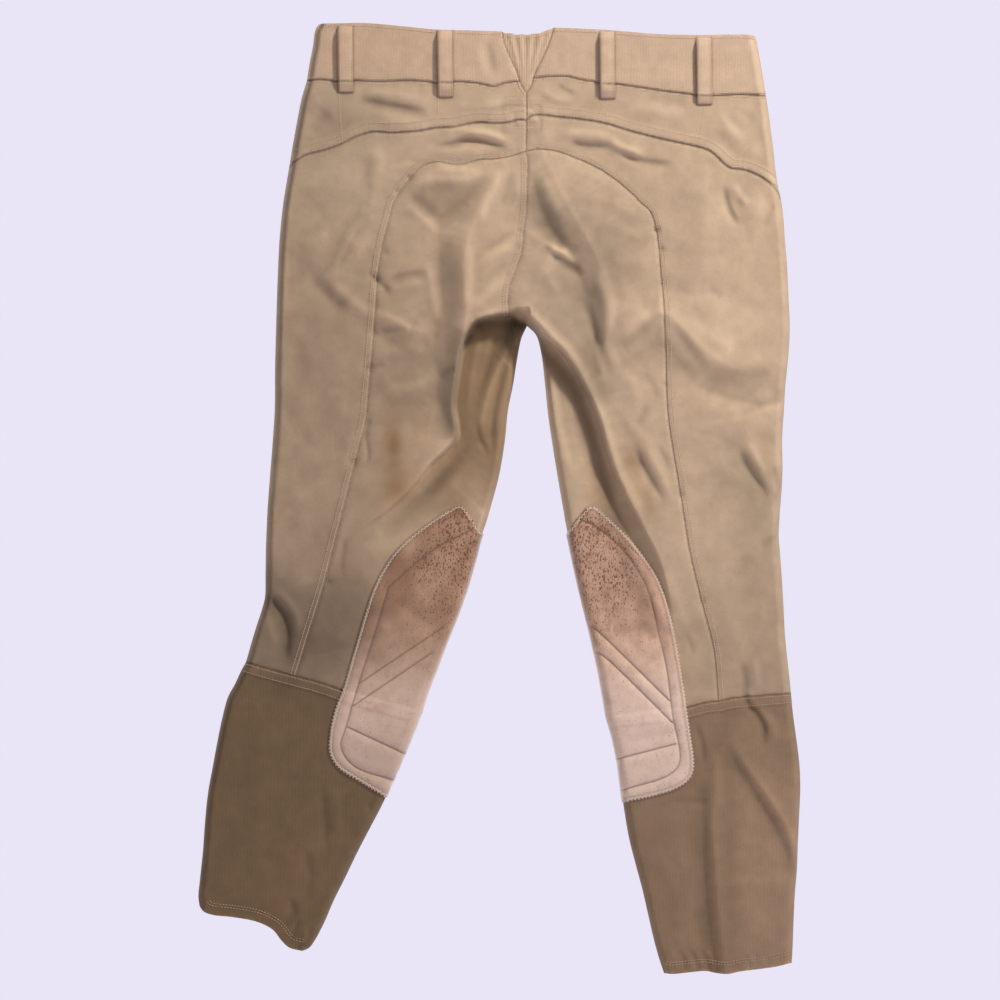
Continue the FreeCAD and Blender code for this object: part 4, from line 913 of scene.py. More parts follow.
# points | height, half width
FRONT_FOLDS = """
527,330 470,300 400,286 | -3.2 9
527,318 480,276 420,244 | 3.0 10
528,330 590,300 660,290 | -3.2 9
528,316 580,270 650,236 | 3.0 10
520,350 480,380 430,396 | 2.8 9
516,372 470,410 400,430 | -3.2 9
540,352 590,384 650,400 | 2.8 9
546,376 600,414 670,436 | -3.2 9
330,120 336,200 330,290 | 2.4 14
700,130 696,210 706,300 | 2.4 14
300,440 330,520 330,610 | 2.4 14
730,440 716,530 730,640 | 2.4 14
270,612 340,600 440,610 | -3.2 8
262,640 330,640 430,650 | 2.8 9
600,640 680,628 780,640 | -3.2 8
604,668 690,660 786,668 | 2.8 9
240,720 300,730 390,740 | -2.6 7
620,740 700,740 790,730 | -2.6 7
250,800 270,860 262,910 | 2.2 9
720,800 726,880 722,960 | -3.2 6
420,110 440,150 430,210 | -1.8 10
620,110 604,160 616,220 | -1.8 10
460,470 440,540 410,600 | 2.0 9
590,470 616,540 640,600 | 2.0 9
"""
for line, values in table(FRONT_FOLDS):
    fold(line, *values, field=FRONT)


# ---------------------------------------------------------------- surfaces of the two layers
def spline_weights(f):
    return ((1 - f) ** 3 / 6, (3 * f ** 3 - 6 * f ** 2 + 4) / 6,
            (-3 * f ** 3 + 3 * f ** 2 + 3 * f + 1) / 6, f ** 3 / 6)


def sample(field, u, v):
    """Smooth (cubic B-spline) sample of a grid."""
    x = np.clip(np.asarray(u, float) - GRID_U, 1.001, GRID_W - 2.002)
    y = np.clip(np.asarray(v, float), 1.001, GRID_H - 2.002)
    j, i = x.astype(int), y.astype(int)
    across, down = spline_weights(x - j), spline_weights(y - i)
    out = np.zeros_like(x)
    for a in range(4):
        row = np.zeros_like(x)
        for b in range(4):
            row += across[b] * field[i + a - 1, j + b - 1]
        out += down[a] * row
    return out


# crown of the back layer: level v, height in mm
DEPTH_V = [0, 24, 90, 300, 400, 540, 648, 744, 900, 980]
DEPTH_MM = [33, 33, 37, 40, 38.5, 36.5, 34.5, 31.5, 26.5, 24.5]
side_distance = Near(SIDES)


def back_y(u, v):
    """Depth of the outer face of the back layer."""
    d = side_distance(u, v)
    q = np.clip(d / 8.0, 0, 1)
    crown = np.sqrt(np.clip(1 - (1 - q) ** 3.0, 0, 1))
    crown = 0.86 * crown + 0.05 * smooth(d / 90)
    height = (np.interp(v, DEPTH_V, DEPTH_MM) * crown * sample(CROWN, u, v)
              + sample(BACK, u, v) * smooth(d / 12))
    return SIDE_Y - np.maximum(height, 0) * 1e-3


def front_y(u, v):
    """Depth of the outer face of the front layer, kept flat round the fly."""
    d = side_distance(u, v)
    off_centre = np.abs(u - 527)
    fly = smooth((off_centre - 12) / 30) + smooth((v - 250) / 60)
    away = np.clip(smooth((off_centre - 40) / 70) + smooth((v - 240) / 110), 0, 1)
    q = np.clip(d / 46.0, 0, 1)
    full = 7.0 * np.sqrt(np.clip(1 - (1 - q) ** 2.4, 0, 1)) * away
    full = full * (0.45 + 0.55 * smooth((v - 60) / 120))
    relief = sample(FRONT, u, v) * smooth(d / 16) * np.clip(fly, 0, 1) * smooth((v - 96) / 30)
    return FRONT_Y - 1.3e-3 + 1e-3 * (1.3 * smooth(d / 7) + full) + 1e-3 * relief


def back_point(u, v, lift=0.0, relief=None):
    """Surface point of the back layer. relief(u, v) adds height in mm; lift moves the point
    along the surface normal."""
    y = back_y(u, v)
    if relief is not None:
        y = y - relief(u, v) * 1e-3
    p = place(u, v, y)
    if np.any(lift):
        e = 0.8
        slope_u = (back_y(u + e, v) - back_y(u - e, v)) / (2 * e * UNIT)
        slope_v = (back_y(u, v + e) - back_y(u, v - e)) / (2 * e * UNIT)
        slope_u, slope_v = np.clip(slope_u, -2.5, 2.5), np.clip(slope_v, -2.5, 2.5)
        normal = np.stack([slope_u, -np.ones_like(slope_u), -slope_v], -1)
        normal /= np.linalg.norm(normal, axis=-1, keepdims=True)
        p = p + normal * np.asarray(lift)[..., None]
    return p


def front_point(u, v, lift=0.0, relief=None):
    y = front_y(u, v)
    if relief is not None:
        y = y + relief(u, v) * 1e-3
    return place(u, v, y + lift)


# ---------------------------------------------------------------- sheets of cloth
def triangulate(loop, pitch, rings=(), along=()):
    """Points and triangles that fill a closed loop: its own points, a staggered grid, rings at
    set distances from the side seams, and close rows beside the lines in along."""
    low, high = loop.min(0), loop.max(0)
    us = np.arange(low[0], high[0] + pitch, pitch)
    vs = np.arange(low[1], high[1] + pitch, pitch * 0.88)
    u, v = np.meshgrid(us, vs)
    u = u + (np.arange(len(vs)) % 2)[:, None] * pitch / 2
    grid = np.stack([u.ravel(), v.ravel()], -1)
    grid = grid[inside(grid, loop)]
    edge = Near([closed(loop)])
    clear = (max(rings) + 0.6 * pitch) if rings else 0
    grid = grid[(edge(grid[:, 0], grid[:, 1]) > 0.9)
                & (side_distance(grid[:, 0], grid[:, 1]) > clear)]
    extra = []
    for ring in rings:
        for line in SIDES:
            for sign in (-1, 1):
                q = resample(offset(line, sign * ring), max(2.0, pitch))
                q = q[inside(q, loop)]
                if len(q):
                    true = np.abs(side_distance(q[:, 0], q[:, 1]) - ring) < 0.12
                    extra.append(q[true & (edge(q[:, 0], q[:, 1]) > min(ring * 0.9, 0.8))])
    if len(along):
        near_line = Near(list(along))
        grid = grid[near_line(grid[:, 0], grid[:, 1]) > 2.0]
        extra = [q[near_line(q[:, 0], q[:, 1]) > 1.6] for q in extra]
        for line in along:
            for gap in (0.0, 0.55, -0.55, 1.3, -1.3):
                q = resample(offset(line, gap) if gap else line, 1.5)
                q = q[inside(q, loop)]
                if len(q):
                    true = np.abs(near_line(q[:, 0], q[:, 1]) - abs(gap)) < 0.12
                    extra.append(q[(edge(q[:, 0], q[:, 1]) > 0.7) & true])
    count = len(loop)
    found, _, faces, _, _, _ = geometry.delaunay_2d_cdt(
        [Vector((float(a), float(b))) for a, b in np.vstack([loop, grid] + extra)],
        [(i, (i + 1) % count) for i in range(count)], [], 1, 1e-5)
    found = np.array([(p.x, p.y) for p in found])
    faces = np.array([f for f in faces if len(f) == 3], int)
    a, b, c = found[faces[:, 0]], found[faces[:, 1]], found[faces[:, 2]]
    area = ((b[:, 0] - a[:, 0]) * (c[:, 1] - a[:, 1])
            - (c[:, 0] - a[:, 0]) * (b[:, 1] - a[:, 1]))
    faces[area < 0] = faces[area < 0][:, ::-1]
    return found, faces[(np.abs(area) > 1e-6) & inside((a + b + c) / 3, loop)]


def vertex_normals(verts, faces):
    a, b, c = (verts[faces[:, k]] for k in range(3))
    face_normals = np.cross(b - a, c - a)
    out = np.zeros_like(verts)
    for k in range(3):
        np.add.at(out, faces[:, k], face_normals)
    return out / (np.linalg.norm(out, axis=1, keepdims=True) + 1e-20)


def solid(sheet, faces, thick, outward, bulge):
    """Closes a sheet into cloth of real thickness with a rounded rim. outward is -1 for the
    back layer and +1 for the front. Gives vertices, faces and vertex normals."""
    normals = vertex_normals(sheet, faces)
    if normals[:, 1].sum() * outward < 0:
        faces, normals = faces[:, ::-1], -normals
    inner = sheet - normals * thick
    edges = np.vstack([faces[:, [0, 1]], faces[:, [1, 2]], faces[:, [2, 0]]])
    key = np.sort(edges, 1)
    code = key[:, 0].astype(np.int64) * (len(sheet) + 1) + key[:, 1]
    _, first, uses = np.unique(code, return_index=True, return_counts=True)
    rim_edges = edges[first[uses == 1]]       # each in the direction of its face
    count = len(sheet)
    rim = np.unique(rim_edges)
    middle = np.full(count, -1)
    middle[rim] = 2 * count + np.arange(len(rim))
    # outward direction in the sheet's plane at each rim vertex
    away = np.cross(sheet[rim_edges[:, 1]] - sheet[rim_edges[:, 0]],
                    normals[rim_edges[:, 0]] + normals[rim_edges[:, 1]])
    away /= np.linalg.norm(away, axis=1, keepdims=True) + 1e-20
    out = np.zeros_like(sheet)
    for k in (0, 1):
        np.add.at(out, rim_edges[:, k], away)
    out = out[rim]
    out /= np.linalg.norm(out, axis=1, keepdims=True) + 1e-20
    rim_points = (sheet[rim] + inner[rim]) / 2 + out * thick * bulge
    solid_faces = [tuple(f) for f in faces.tolist()]
    solid_faces += [tuple(f) for f in (faces[:, ::-1] + count).tolist()]
    for a, b in rim_edges.tolist():
        mid_a, mid_b = int(middle[a]), int(middle[b])
        solid_faces.append((b, a, mid_a, mid_b))
        solid_faces.append((mid_b, mid_a, a + count, b + count))
    return (np.vstack([sheet, inner, rim_points]), solid_faces,
            np.vstack([normals, -normals, out]))


def link(name, verts, faces, material, smooth_shade=True):
    mesh = bpy.data.meshes.new(name)
    mesh.from_pydata(verts.tolist(), [], faces)
    mesh.polygons.foreach_set("use_smooth", [smooth_shade] * len(mesh.polygons))
    mesh.materials.append(material)
    mesh.update()
    ob = bpy.data.objects.new(name, mesh)
    scene.collection.objects.link(ob)
    return ob


def add_attribute(mesh, name, kind, field, values):
    attribute = mesh.attributes.new(name, kind, "POINT")
    attribute.data.foreach_set(field, np.asarray(values, np.float32).ravel())


# ---------------------------------------------------------------- knee patches
def between_levels(line, top, bottom):
    """The part of a downward line between two levels."""
    keep = (line[:, 1] > top + 0.3) & (line[:, 1] < bottom - 0.3)
    start = (np.interp(top, line[:, 1], line[:, 0]), top)
    end = (np.interp(bottom, line[:, 1], line[:, 0]), bottom)
    return np.vstack([[start], line[keep], [end]])


def zigzag_steps(line, height):
    """Sideways steps, by turns to the left and the right of a line."""
    sign = np.where(np.arange(len(line)) % 2, height, -height)
    return (offset(line, 1.0) - line) * sign[:, None]


def pinked(line):
    """A line cut into small teeth, with its ends kept in place."""
    out = resample(line, 1.8)
    out[-1], out[0] = line[-1], line[0]
    steps = zigzag_steps(out, 1.0)
    steps[0] = steps[-1] = 0
    return out + steps


class KneePatch:
    """The outline and quilting lines of one patch. outward is the x direction away from the
    leg at its inner edge."""

    def __init__(self, inner_edge, top, bottom, outward, edge, quilting):
        self.edge = curve(points(edge), 1.6)
        self.inner = between_levels(chain(inner_edge), top, bottom)
        self.edge[0], self.edge[-1] = self.inner[0], self.inner[-1]
        self.quilting = [curve(line, 2.0) for line, _ in table(quilting)]
        self.quilting_distance = Near(self.quilting)
        self.edge_distance = Near([self.edge])
        self.inner_distance = Near([self.inner])
        self.loop = join(pinked(self.edge), self.inner[::-1])
        self.outward = outward

    def covers(self, u, v):
        return inside(np.stack([u, v], -1), self.loop)

    def puff(self, u, v):
        """Padding height in mm: low at the quilting and along the edge stitching."""
        d, e = self.quilting_distance(u, v), self.edge_distance(u, v)
        return (0.9 * (1 - bell(d / 4.0)) * smooth(e / 9) - 0.7 * bell(d / 0.9)
                - 0.3 * bell((e - 2.6) / 1.2))


PATCHES = {
    "left": KneePatch(
        INNER_LEFT, top=534, bottom=797, outward=1.0,
        edge="""481,534 471,518 460.6,505.5 448,511 435,519 421,529 408.6,539 398,549 388,561.6
            374,588 363.7,618.8 353.5,653.5 343,689.6 335,710.6 330,735 330,753.5 339,767.8
            357.6,780 386,797""",
        quilting="""
            388,588 374,635 358.6,684 346,727 341,747 353.5,765.7 392,780
            358.6,684 410.6,649 442,628
            351,707.5 430,654
            347,727 405,754
            388,588 430,552 470,530"""),
    "right": KneePatch(
        INNER_RIGHT, top=534, bottom=802, outward=-1.0,
        edge="""567.5,534 579,517 591,506.5 611,521 634,545 654,572 664.5,596 672.6,627
            678.8,659.6 686,706.7 690,735 693.5,765.7 690,778 678.8,787 656,795 622.5,802""",
        quilting="""
            580,520 594,526 621.6,549 642,578 651,600 658,631 666.5,667.7 672.6,714.7 \
            679.8,761.6 670.6,774 623.7,790
            669.6,701 603,636 592,626
            672.6,723 610,661.6 598,652
            675.7,744 614,760"""),
}


# ---------------------------------------------------------------- belt loop places
def belt_loops(half_width, places):
    """Centre u, top v, bottom v and half width (m) from x, top and bottom in mm."""
    return [(U0 + mm(x), V0 + mm(top), V0 + mm(bottom), half_width) for x, top, bottom in places]


LOOPS_BACK = belt_loops(6.7e-3, [(-170.6, 2.6, 64.5), (-76, 6.6, 69.0), (78, 8.0, 70.5),
                                 (170, 13.5, 76.0)])
LOOPS_FRONT = belt_loops(7.5e-3, [(-95, 14.5, 63), (99, 19.5, 68)])

# ---------------------------------------------------------------- colours by place
# waist seam of the front
FRONT_WAIST_LEFT, = curves("306.8,81 360,88 420,92 527,98 544,98")
FRONT_WAIST_RIGHT, = curves("544,98 640,98 766,95.7")
near_front_waist = Near([FRONT_WAIST_LEFT, FRONT_WAIST_RIGHT])
near_seam = Near([YOKE_LEFT, YOKE_RIGHT, ARC_LINE_LEFT, ARC_LINE_RIGHT, chain(CENTRE), WAIST_LEFT,
                  WAIST_RIGHT, *KNEE_LINES, chain(GUSSET_LEFT), chain(GUSSET_RIGHT)])
near_free_edge = Near([TOP_LEFT, TOP_GUSSET, TOP_RIGHT, HEM_LEFT, HEM_RIGHT])
near_lap = Near([YOKE_LEFT, YOKE_RIGHT, WAIST_LEFT, WAIST_RIGHT, *KNEE_LINES])
# painted shade in the grooves along the rows of topstitching
near_rows = Near([offset(line, gap) for line, gap in (
    (YOKE_LEFT, -2.4), (YOKE_LEFT, -9.4), (YOKE_RIGHT, -2.4), (YOKE_RIGHT, -9.0),
    (CENTRE[2], 1.8), (CENTRE[2], 5.0), (ARC_LINE_LEFT, 1.8), (ARC_LINE_LEFT, 5.6),
    (ARC_LINE_RIGHT, -1.8), (ARC_LINE_RIGHT, -5.6), (WAIST_LEFT, 2.4), (WAIST_RIGHT, 2.4))])
# painted shadow on the strip beside the right crotch edge
near_shadow_strip = Near(curves(
    "541,352 556,366 572,388 584,416 597,456 606,487 622,535 640,585 655,632"))
# the left crotch edge, from top to bottom
LOW_EDGE = curve(points("""510,316 476,322.2 466,335 460.5,352 456.5,378 453.5,405 456.5,437
    447,449 431,464 411,489 386,512 356,532"""), 2.0)
LOW_EDGE = LOW_EDGE[np.argsort(LOW_EDGE[:, 1])]
COARSE_NOISE, FINE_NOISE = noise(17, 41), noise(7, 42)


def srgb(*rgb):
    c = np.asarray(rgb, float) / 255
    return np.where(c <= 0.04045, c / 12.92, ((c + 0.055) / 1.055) ** 2.4)


BASE = {"twill": srgb(205, 177, 148), "band": srgb(205, 175, 148), "elastic": srgb(208, 177, 149),
        "suede": srgb(190, 158, 138), "cuff": srgb(141, 116, 92), "tape": srgb(150, 124, 98),
        "label": srgb(214, 204, 188), "front": srgb(196, 168, 144)}

# yellow-brown marks on the upper legs: u, v, radii, turn in degrees, strength
LEG_MARKS = [(394, 450, 8, 22, 8, 0.68), (388, 440, 18, 32, 10, 0.26),
             (634, 474, 12, 34, -8, 0.5), (452, 500, 14, 24, 30, 0.3),
             (398, 486, 18, 24, 30, 0.5), (650, 500, 8, 18, -10, 0.35),
             (410, 440, 22, 30, 20, 0.3), (600, 500, 14, 30, -20, 0.3)]


def blob(u, v, mid_u, mid_v, radius_u, radius_v, degrees):
    a = math.radians(degrees)
    x, y = u - mid_u, v - mid_v
    turned_x = x * math.cos(a) + y * math.sin(a)
    turned_y = -x * math.sin(a) + y * math.cos(a)
    return np.exp(-((turned_x / radius_u) ** 2 + (turned_y / radius_v) ** 2))


def tint(colour, other, share):
    """Mixes another colour in by a share for each point."""
    return colour * (1 - share[:, None]) + np.asarray(other)[None] * share[:, None]


def twill_marks(col, u, v, y, coarse, fine):
    back = smooth((0.0195 - y) / 0.002)
    # painted shade: the legs darker and greyer lower down, the left side darker and browner
    col = tint(col, srgb(178, 151, 127), 0.55 * smooth((v - 500) / 160) * back)
    col = tint(col, srgb(176, 147, 119), 0.35 * smooth((560 - u) / 120) * smooth((v - 150) / 120))
    for *shape, strength in LEG_MARKS:
        share = strength * blob(u, v, *shape) * back * (0.7 + 0.5 * coarse)
        col = tint(col, srgb(152, 108, 62), share)
    # painted shadow on the cloth that lies back between the legs, beside each crotch edge
    strip = bell(near_shadow_strip(u, v) / 11) * smooth((v - 318) / 30)
    col = tint(col, srgb(112, 84, 60), 0.42 * np.clip(strip, 0, 1) * back)
    low = smooth((u - np.interp(v, LOW_EDGE[:, 1], LOW_EDGE[:, 0])) / 6)
    low = low * smooth((v - 316) / 10) * smooth((540 - v) / 90) * (u < 528)
    return tint(col, srgb(142, 115, 86), 0.9 * low * back)


def band_marks(col, u, v, y, coarse, fine):
    # painted shade: the left part of the band darker and browner
    return tint(col, srgb(195, 163, 136), 0.5 * smooth((500 - u) / 120))


def cuff_marks(col, u, v, y, coarse, fine):
    left = smooth((500 - u) / 60)
    # painted shade: the left cuff darker
    col = tint(col, srgb(113, 91, 67), 0.9 * left)
    # lighter along the knee seam on both cuffs, and on the right cuff towards its lower outer side
    col = tint(col, srgb(132, 106, 84), 0.7 * bell(near_lap(u, v) / 12) * left)
    col = tint(col, srgb(146, 118, 96), 0.6 * smooth((u - 560) / 60) * smooth((722 - v) / 14))
    return tint(col, srgb(160, 131, 107), 0.75 * smooth((u - 728) / 22) * smooth((v - 740) / 60))


def suede_marks(col, u, v, y, coarse, fine):
    down = smooth((v - 610) / 110)
    right = u > 527
    col = np.where(right[:, None],
                   tint(np.repeat(srgb(192, 154, 130)[None], len(u), 0), srgb(218, 190, 172), down),
                   tint(np.repeat(srgb(188, 150, 122)[None], len(u), 0), srgb(208, 179, 160), down))
    # rubbed brown towards the top
    rubbed = np.where(right, 0.14, 0.46) * (0.5 + 0.8 * coarse) * smooth((690 - v) / 90)
    col = tint(col, srgb(118, 76, 56), np.clip(rubbed, 0, 1))
    # painted light and shade: the left patch darker with a lighter band at the knee, the right
    # patch brighter, most of all across its middle
    light_left = 0.94 + 0.12 * bell((v - 705) / 26) - 0.06 * smooth((v - 730) / 30)
    light_right = 1.05 + 0.22 * bell((v - 650) / 60)
    col = col * np.where(right, light_right, light_left)[:, None]
    blotches = 0.30 * (fine + 0.15) * smooth((790 - v) / 160)
    col = tint(col, srgb(126, 92, 66), np.clip(blotches, 0, 1))
    # dark quilting lines, pale cut edge, dark edge stitching
    for patch in PATCHES.values():
        col = col * (1 - 0.42 * bell(patch.quilting_distance(u, v) / 0.75))[:, None]
        edge = patch.edge_distance(u, v)
        col = tint(col, srgb(222, 200, 182), 0.75 * bell(edge / 1.3))
        col = col * (1 - 0.30 * bell((edge - 3.0) / 1.0))[:, None]
    return col


MARKS = {"twill": twill_marks, "band": band_marks, "cuff": cuff_marks, "suede": suede_marks}


def loop_shadows(col, u, v, y):
    """Painted shadows round and below the back belt loops, and slightly lighter cloth inside their
    outline.
    """
    for middle, top, bottom, half_width in LOOPS_BACK:
        dx, half = np.abs(u - middle), half_width / UNIT
        on = (v > top - 1) & (v < bottom + 1) & (y < SIDE_Y)
        dark = 0.34 * bell((dx - half - 0.4) / 1.25) * on
        dark = dark + 0.36 * bell((v - bottom - 1.0) / 1.4) * (dx < half + 1) * (y < SIDE_Y)
        col = col * (1 - np.clip(dark, 0, 0.4) + 0.07 * ((dx < half - 2) & on))[:, None]
    return col


def tone(u, v, y, cloth):
    """Colour of the cloth at each point."""
    coarse, fine = sample(COARSE_NOISE, u, v), sample(FINE_NOISE, u, v)
    rear = smooth((0.0198 - y) / 0.0012)
    col = np.repeat(BASE[cloth][None], len(u), 0)
    if cloth in MARKS:
        col = MARKS[cloth](col, u, v, y, coarse, fine)
    # painted shade and painted highlights from the shading grid
    if cloth in ("twill", "band", "elastic", "suede", "cuff"):
        col = col * sample(PAINTED_SHADING, u, v)[:, None] ** 1.15
    if cloth in ("band", "twill"):
        col = loop_shadows(col, u, v, y)
    if cloth == "twill":
        # painted shade: the twill darker towards the left, and darker still on the lower left leg
        left_leg_shade = smooth((v - 480) / 120) * smooth((400 - u) / 60)
        col = col * (0.95 - 0.13 * smooth((470 - u) / 130) - 0.10 * left_leg_shade)[:, None]
        # painted shade in the grooves along the rows of topstitching
        col = col * (1 - 0.13 * rear * bell(near_rows(u, v) / 0.9))[:, None]
    if cloth in ("twill", "cuff", "band", "elastic"):
        # painted shadow under the lapped edges of the yoke, waist and knee seams, with darker seam
        # lines, and painted shadow under the front waistband's lower edge
        own = np.maximum(rear, smooth((v - 560) / 20))
        seams = 0.42 * bell(near_lap(u, v) / 0.9) + 0.16 * bell(near_seam(u, v) / 0.8)
        col = col * (1 - own * seams)[:, None]
        col = col * (1 - 0.30 * (1 - rear) * bell(near_front_waist(u, v) / 1.0))[:, None]
    return np.clip(col * (1 + 0.05 * fine[:, None]), 0.002, 1)


# ---------------------------------------------------------------- materials
class Net:
    """A short hand for node graphs."""

    def __init__(self, tree):
        self.tree = tree

    def node(self, kind):
        return self.tree.nodes.new(kind)

    def put(self, socket, value):
        if isinstance(value, bpy.types.NodeSocket):
            self.tree.links.new(value, socket)
        elif isinstance(value, (tuple, list, np.ndarray)):
            value = [float(c) for c in value]
            same = len(socket.default_value) == len(value)
            socket.default_value = value if same else value + [1.0]
        elif value is not None:
            socket.default_value = value

    def math(self, operation, *values):
        node = self.node("ShaderNodeMath")
        node.operation = operation
        for socket, value in zip(node.inputs, values):
            self.put(socket, value)
        return node.outputs[0]

    def vector(self, operation, a, b):
        node = self.node("ShaderNodeVectorMath")
        node.operation = operation
        self.put(node.inputs[0], a)
        self.put(node.inputs[1], b)
        return node.outputs["Value" if operation == "DOT_PRODUCT" else "Vector"]

    def dot(self, vector, direction):
        return self.vector("DOT_PRODUCT", vector, direction)

    def attribute(self, name, kind="Fac"):
        node = self.node("ShaderNodeAttribute")
        node.attribute_name = name
        return node.outputs[kind]

    def noise(self, vector, scale, detail=2.0, rough=0.5):
        node = self.node("ShaderNodeTexNoise")
        self.put(node.inputs["Vector"], vector)
        node.inputs["Scale"].default_value = scale
        node.inputs["Detail"].default_value = detail
        node.inputs["Roughness"].default_value = rough
        return node.outputs[0]

    def voronoi(self, vector, scale):
        node = self.node("ShaderNodeTexVoronoi")
        self.put(node.inputs["Vector"], vector)
        node.inputs["Scale"].default_value = scale
        return node.outputs["Distance"]

    def mix(self, factor, a, b, mode="MIX"):
        node = self.node("ShaderNodeMix")
        node.data_type = "RGBA"
        node.blend_type = mode
        node.clamp_factor = True
        self.put(node.inputs[0], factor)
        self.put(node.inputs[6], a)
        self.put(node.inputs[7], b)
        return node.outputs[2]

    def ramp(self, value, low, high):
        """A smooth step from 0 at low to 1 at high."""
        node = self.node("ShaderNodeMapRange")
        node.clamp = True
        node.interpolation_type = "SMOOTHSTEP"
        self.put(node.inputs[0], value)
        for i, end in enumerate((low, high, 0.0, 1.0)):
            node.inputs[i + 1].default_value = end
        return node.outputs[0]

    def swing(self, value, amount):
        """A 0 to 1 value as a change of +- half the amount."""
        return self.math("MULTIPLY", self.math("SUBTRACT", value, 0.5), amount)

    def stripes(self, run, period):
        """A 0 to 1 sine wave along a length."""
        wave = self.math("SINE", self.math("MULTIPLY", run, 2 * math.pi / period))
        return self.math("MULTIPLY_ADD", wave, 0.5, 0.5)

    def bump(self, height, strength, distance, normal=None):
        node = self.node("ShaderNodeBump")
        node.inputs["Strength"].default_value = strength
        node.inputs["Distance"].default_value = distance
        self.put(node.inputs["Height"], height)
        self.put(node.inputs["Normal"], normal)
        return node.outputs[0]

    def brighten(self, colour, value):
        """Multiplies a colour by a brightness."""
        grey = self.node("ShaderNodeCombineColor")
        for i in range(3):
            self.put(grey.inputs[i], value)
        return self.mix(1.0, colour, grey.outputs[0], "MULTIPLY")


def new_material(name):
    material = bpy.data.materials.new(name)
    material.use_nodes = True
    tree = material.node_tree
    tree.nodes.clear()
    out = tree.nodes.new("ShaderNodeOutputMaterial")
    shader = tree.nodes.new("ShaderNodeBsdfPrincipled")
    tree.links.new(shader.outputs[0], out.inputs[0])
    return material, Net(tree), shader


def twill_weave(net, rest):
    return net.stripes(net.dot(rest, (0.62, 0.0, 0.78)), period=0.00115)


def rib_weave(period):
    def weave(net, rest):
        shift = net.math("MULTIPLY", net.noise(rest, scale=60, detail=1), 0.0012)
        return net.stripes(net.math("ADD", net.dot(rest, (1.0, 0.0, 0.0)), shift), period)
    return weave


def herringbone(net, rest):
    zigzag = net.math("PINGPONG", net.dot(rest, (1.0, 0.0, 0.0)), 0.0025)
    height = net.math("ADD", net.dot(rest, (0.0, 0.0, 1.0)), zigzag)
    return net.stripes(height, period=0.0011)


def nap(net, rest):
    stretched = net.vector("MULTIPLY", rest, (1.0, 1.0, 0.55))
    return net.noise(stretched, scale=1300, detail=3, rough=0.7)


def suede_specks(net, rest, colour):
    """Dark flecks of rubbed-off nap, thicker towards the top and the inner edge."""
    high = net.ramp(net.dot(rest, (0.0, 0.0, 1.0)), -0.64, -0.50)
    inner = net.ramp(net.math("ABSOLUTE", net.dot(rest, (1.0, 0.0, 0.0))), 0.128, 0.074)
    worn = net.math("MULTIPLY", high, net.math("MULTIPLY_ADD", inner, 0.85, 0.15))
    patchy = net.noise(rest, scale=45, detail=3)
    # cell scale, density from the patchy noise, fleck colour
    for scale, density, dark in ((420, 0.30, srgb(98, 54, 42)), (720, 0.27, srgb(122, 70, 54))):
        cells = net.voronoi(net.vector("MULTIPLY", rest, (1.0, 1.0, 0.55)), scale)
        amount = net.math("ADD", net.math("MULTIPLY", worn, 0.24),
                          net.math("MULTIPLY", patchy, density))
        fleck = net.ramp(net.math("SUBTRACT", amount, cells), 0.0, 0.09)
        colour = net.mix(net.math("MULTIPLY", fleck, 0.7), colour, dark)
    stretched = net.vector("MULTIPLY", rest, (1.0, 1.0, 0.5))
    smears = net.ramp(net.noise(stretched, scale=160, detail=4, rough=0.65), 0.5, 0.7)
    share = net.math("MULTIPLY", smears, net.math("MULTIPLY_ADD", worn, 0.42, 0.12))
    return net.mix(share, colour, srgb(132, 86, 64))


def cloth_material(name, weave, wear=0.16, rough=0.9, sheen=0.06, mottle=0.075,
                   weave_depth=0.00022, weave_contrast=0.09, relief_shade=0.34, specks=None, colour=None):
    """Woven cloth. Its base is the tone attribute, unless a colour is given."""
    material, net, shader = new_material(name)
    rest = net.attribute("rest", "Vector")
    base = net.attribute("tone", "Color") if colour is None else colour
    threads = weave(net, rest)
    big = net.noise(rest, scale=55, detail=3, rough=0.55)
    mid = net.noise(rest, scale=260)
    fine = net.noise(rest, scale=1150, rough=0.6)
    bright = net.math("MULTIPLY_ADD", net.math("SUBTRACT", big, 0.5), 3.0 * mottle, 1.0)
    # the relief attribute paints shade into sunken cloth and a highlight onto raised cloth
    for value, amount in ((mid, 1.5 * mottle), (fine, 4.2 * mottle), (threads, weave_contrast),
                          (net.attribute("relief"), relief_shade)):
        bright = net.math("ADD", bright, net.swing(value, amount))
    worn = net.math("MULTIPLY", net.attribute("seam"),
                    net.ramp(net.noise(rest, scale=420), 0.42, 0.62))
    bright = net.math("ADD", bright, net.math("MULTIPLY", worn, wear))
    surface = net.brighten(base, bright)
    if specks:
        surface = specks(net, rest, surface)
    net.put(shader.inputs["Base Color"], surface)
    net.put(shader.inputs["Roughness"], net.math("MULTIPLY_ADD", mid, 0.12, rough - 0.06))
    shader.inputs["Sheen Weight"].default_value = sheen
    shader.inputs["Sheen Roughness"].default_value = 0.5
    shader.inputs["Specular IOR Level"].default_value = 0.25
    height = net.math("ADD", net.math("MULTIPLY", threads, 1.0), net.math("MULTIPLY", fine, 0.6))
    bumps = net.bump(height, strength=0.55, distance=weave_depth)
    bumps = net.bump(mid, strength=0.16, distance=0.0005, normal=bumps)
    net.put(shader.inputs["Normal"], bumps)
    return material


def thread_material(name, colour):
    material, net, shader = new_material(name)
    position = net.node("ShaderNodeNewGeometry").outputs["Position"]
    twist = net.stripes(net.dot(position, (0.8, 0.2, 0.57)), period=0.0005)
    mottle = net.math("MULTIPLY_ADD", net.noise(position, scale=120), 0.3, 0.78)
    bright = net.math("MULTIPLY_ADD", twist, 0.14, mottle)
    net.put(shader.inputs["Base Color"], net.brighten(colour, bright))
    shader.inputs["Roughness"].default_value = 0.7
    shader.inputs["Sheen Weight"].default_value = 0.3
    net.put(shader.inputs["Normal"], net.bump(twist, strength=0.5, distance=0.0001))
    return material


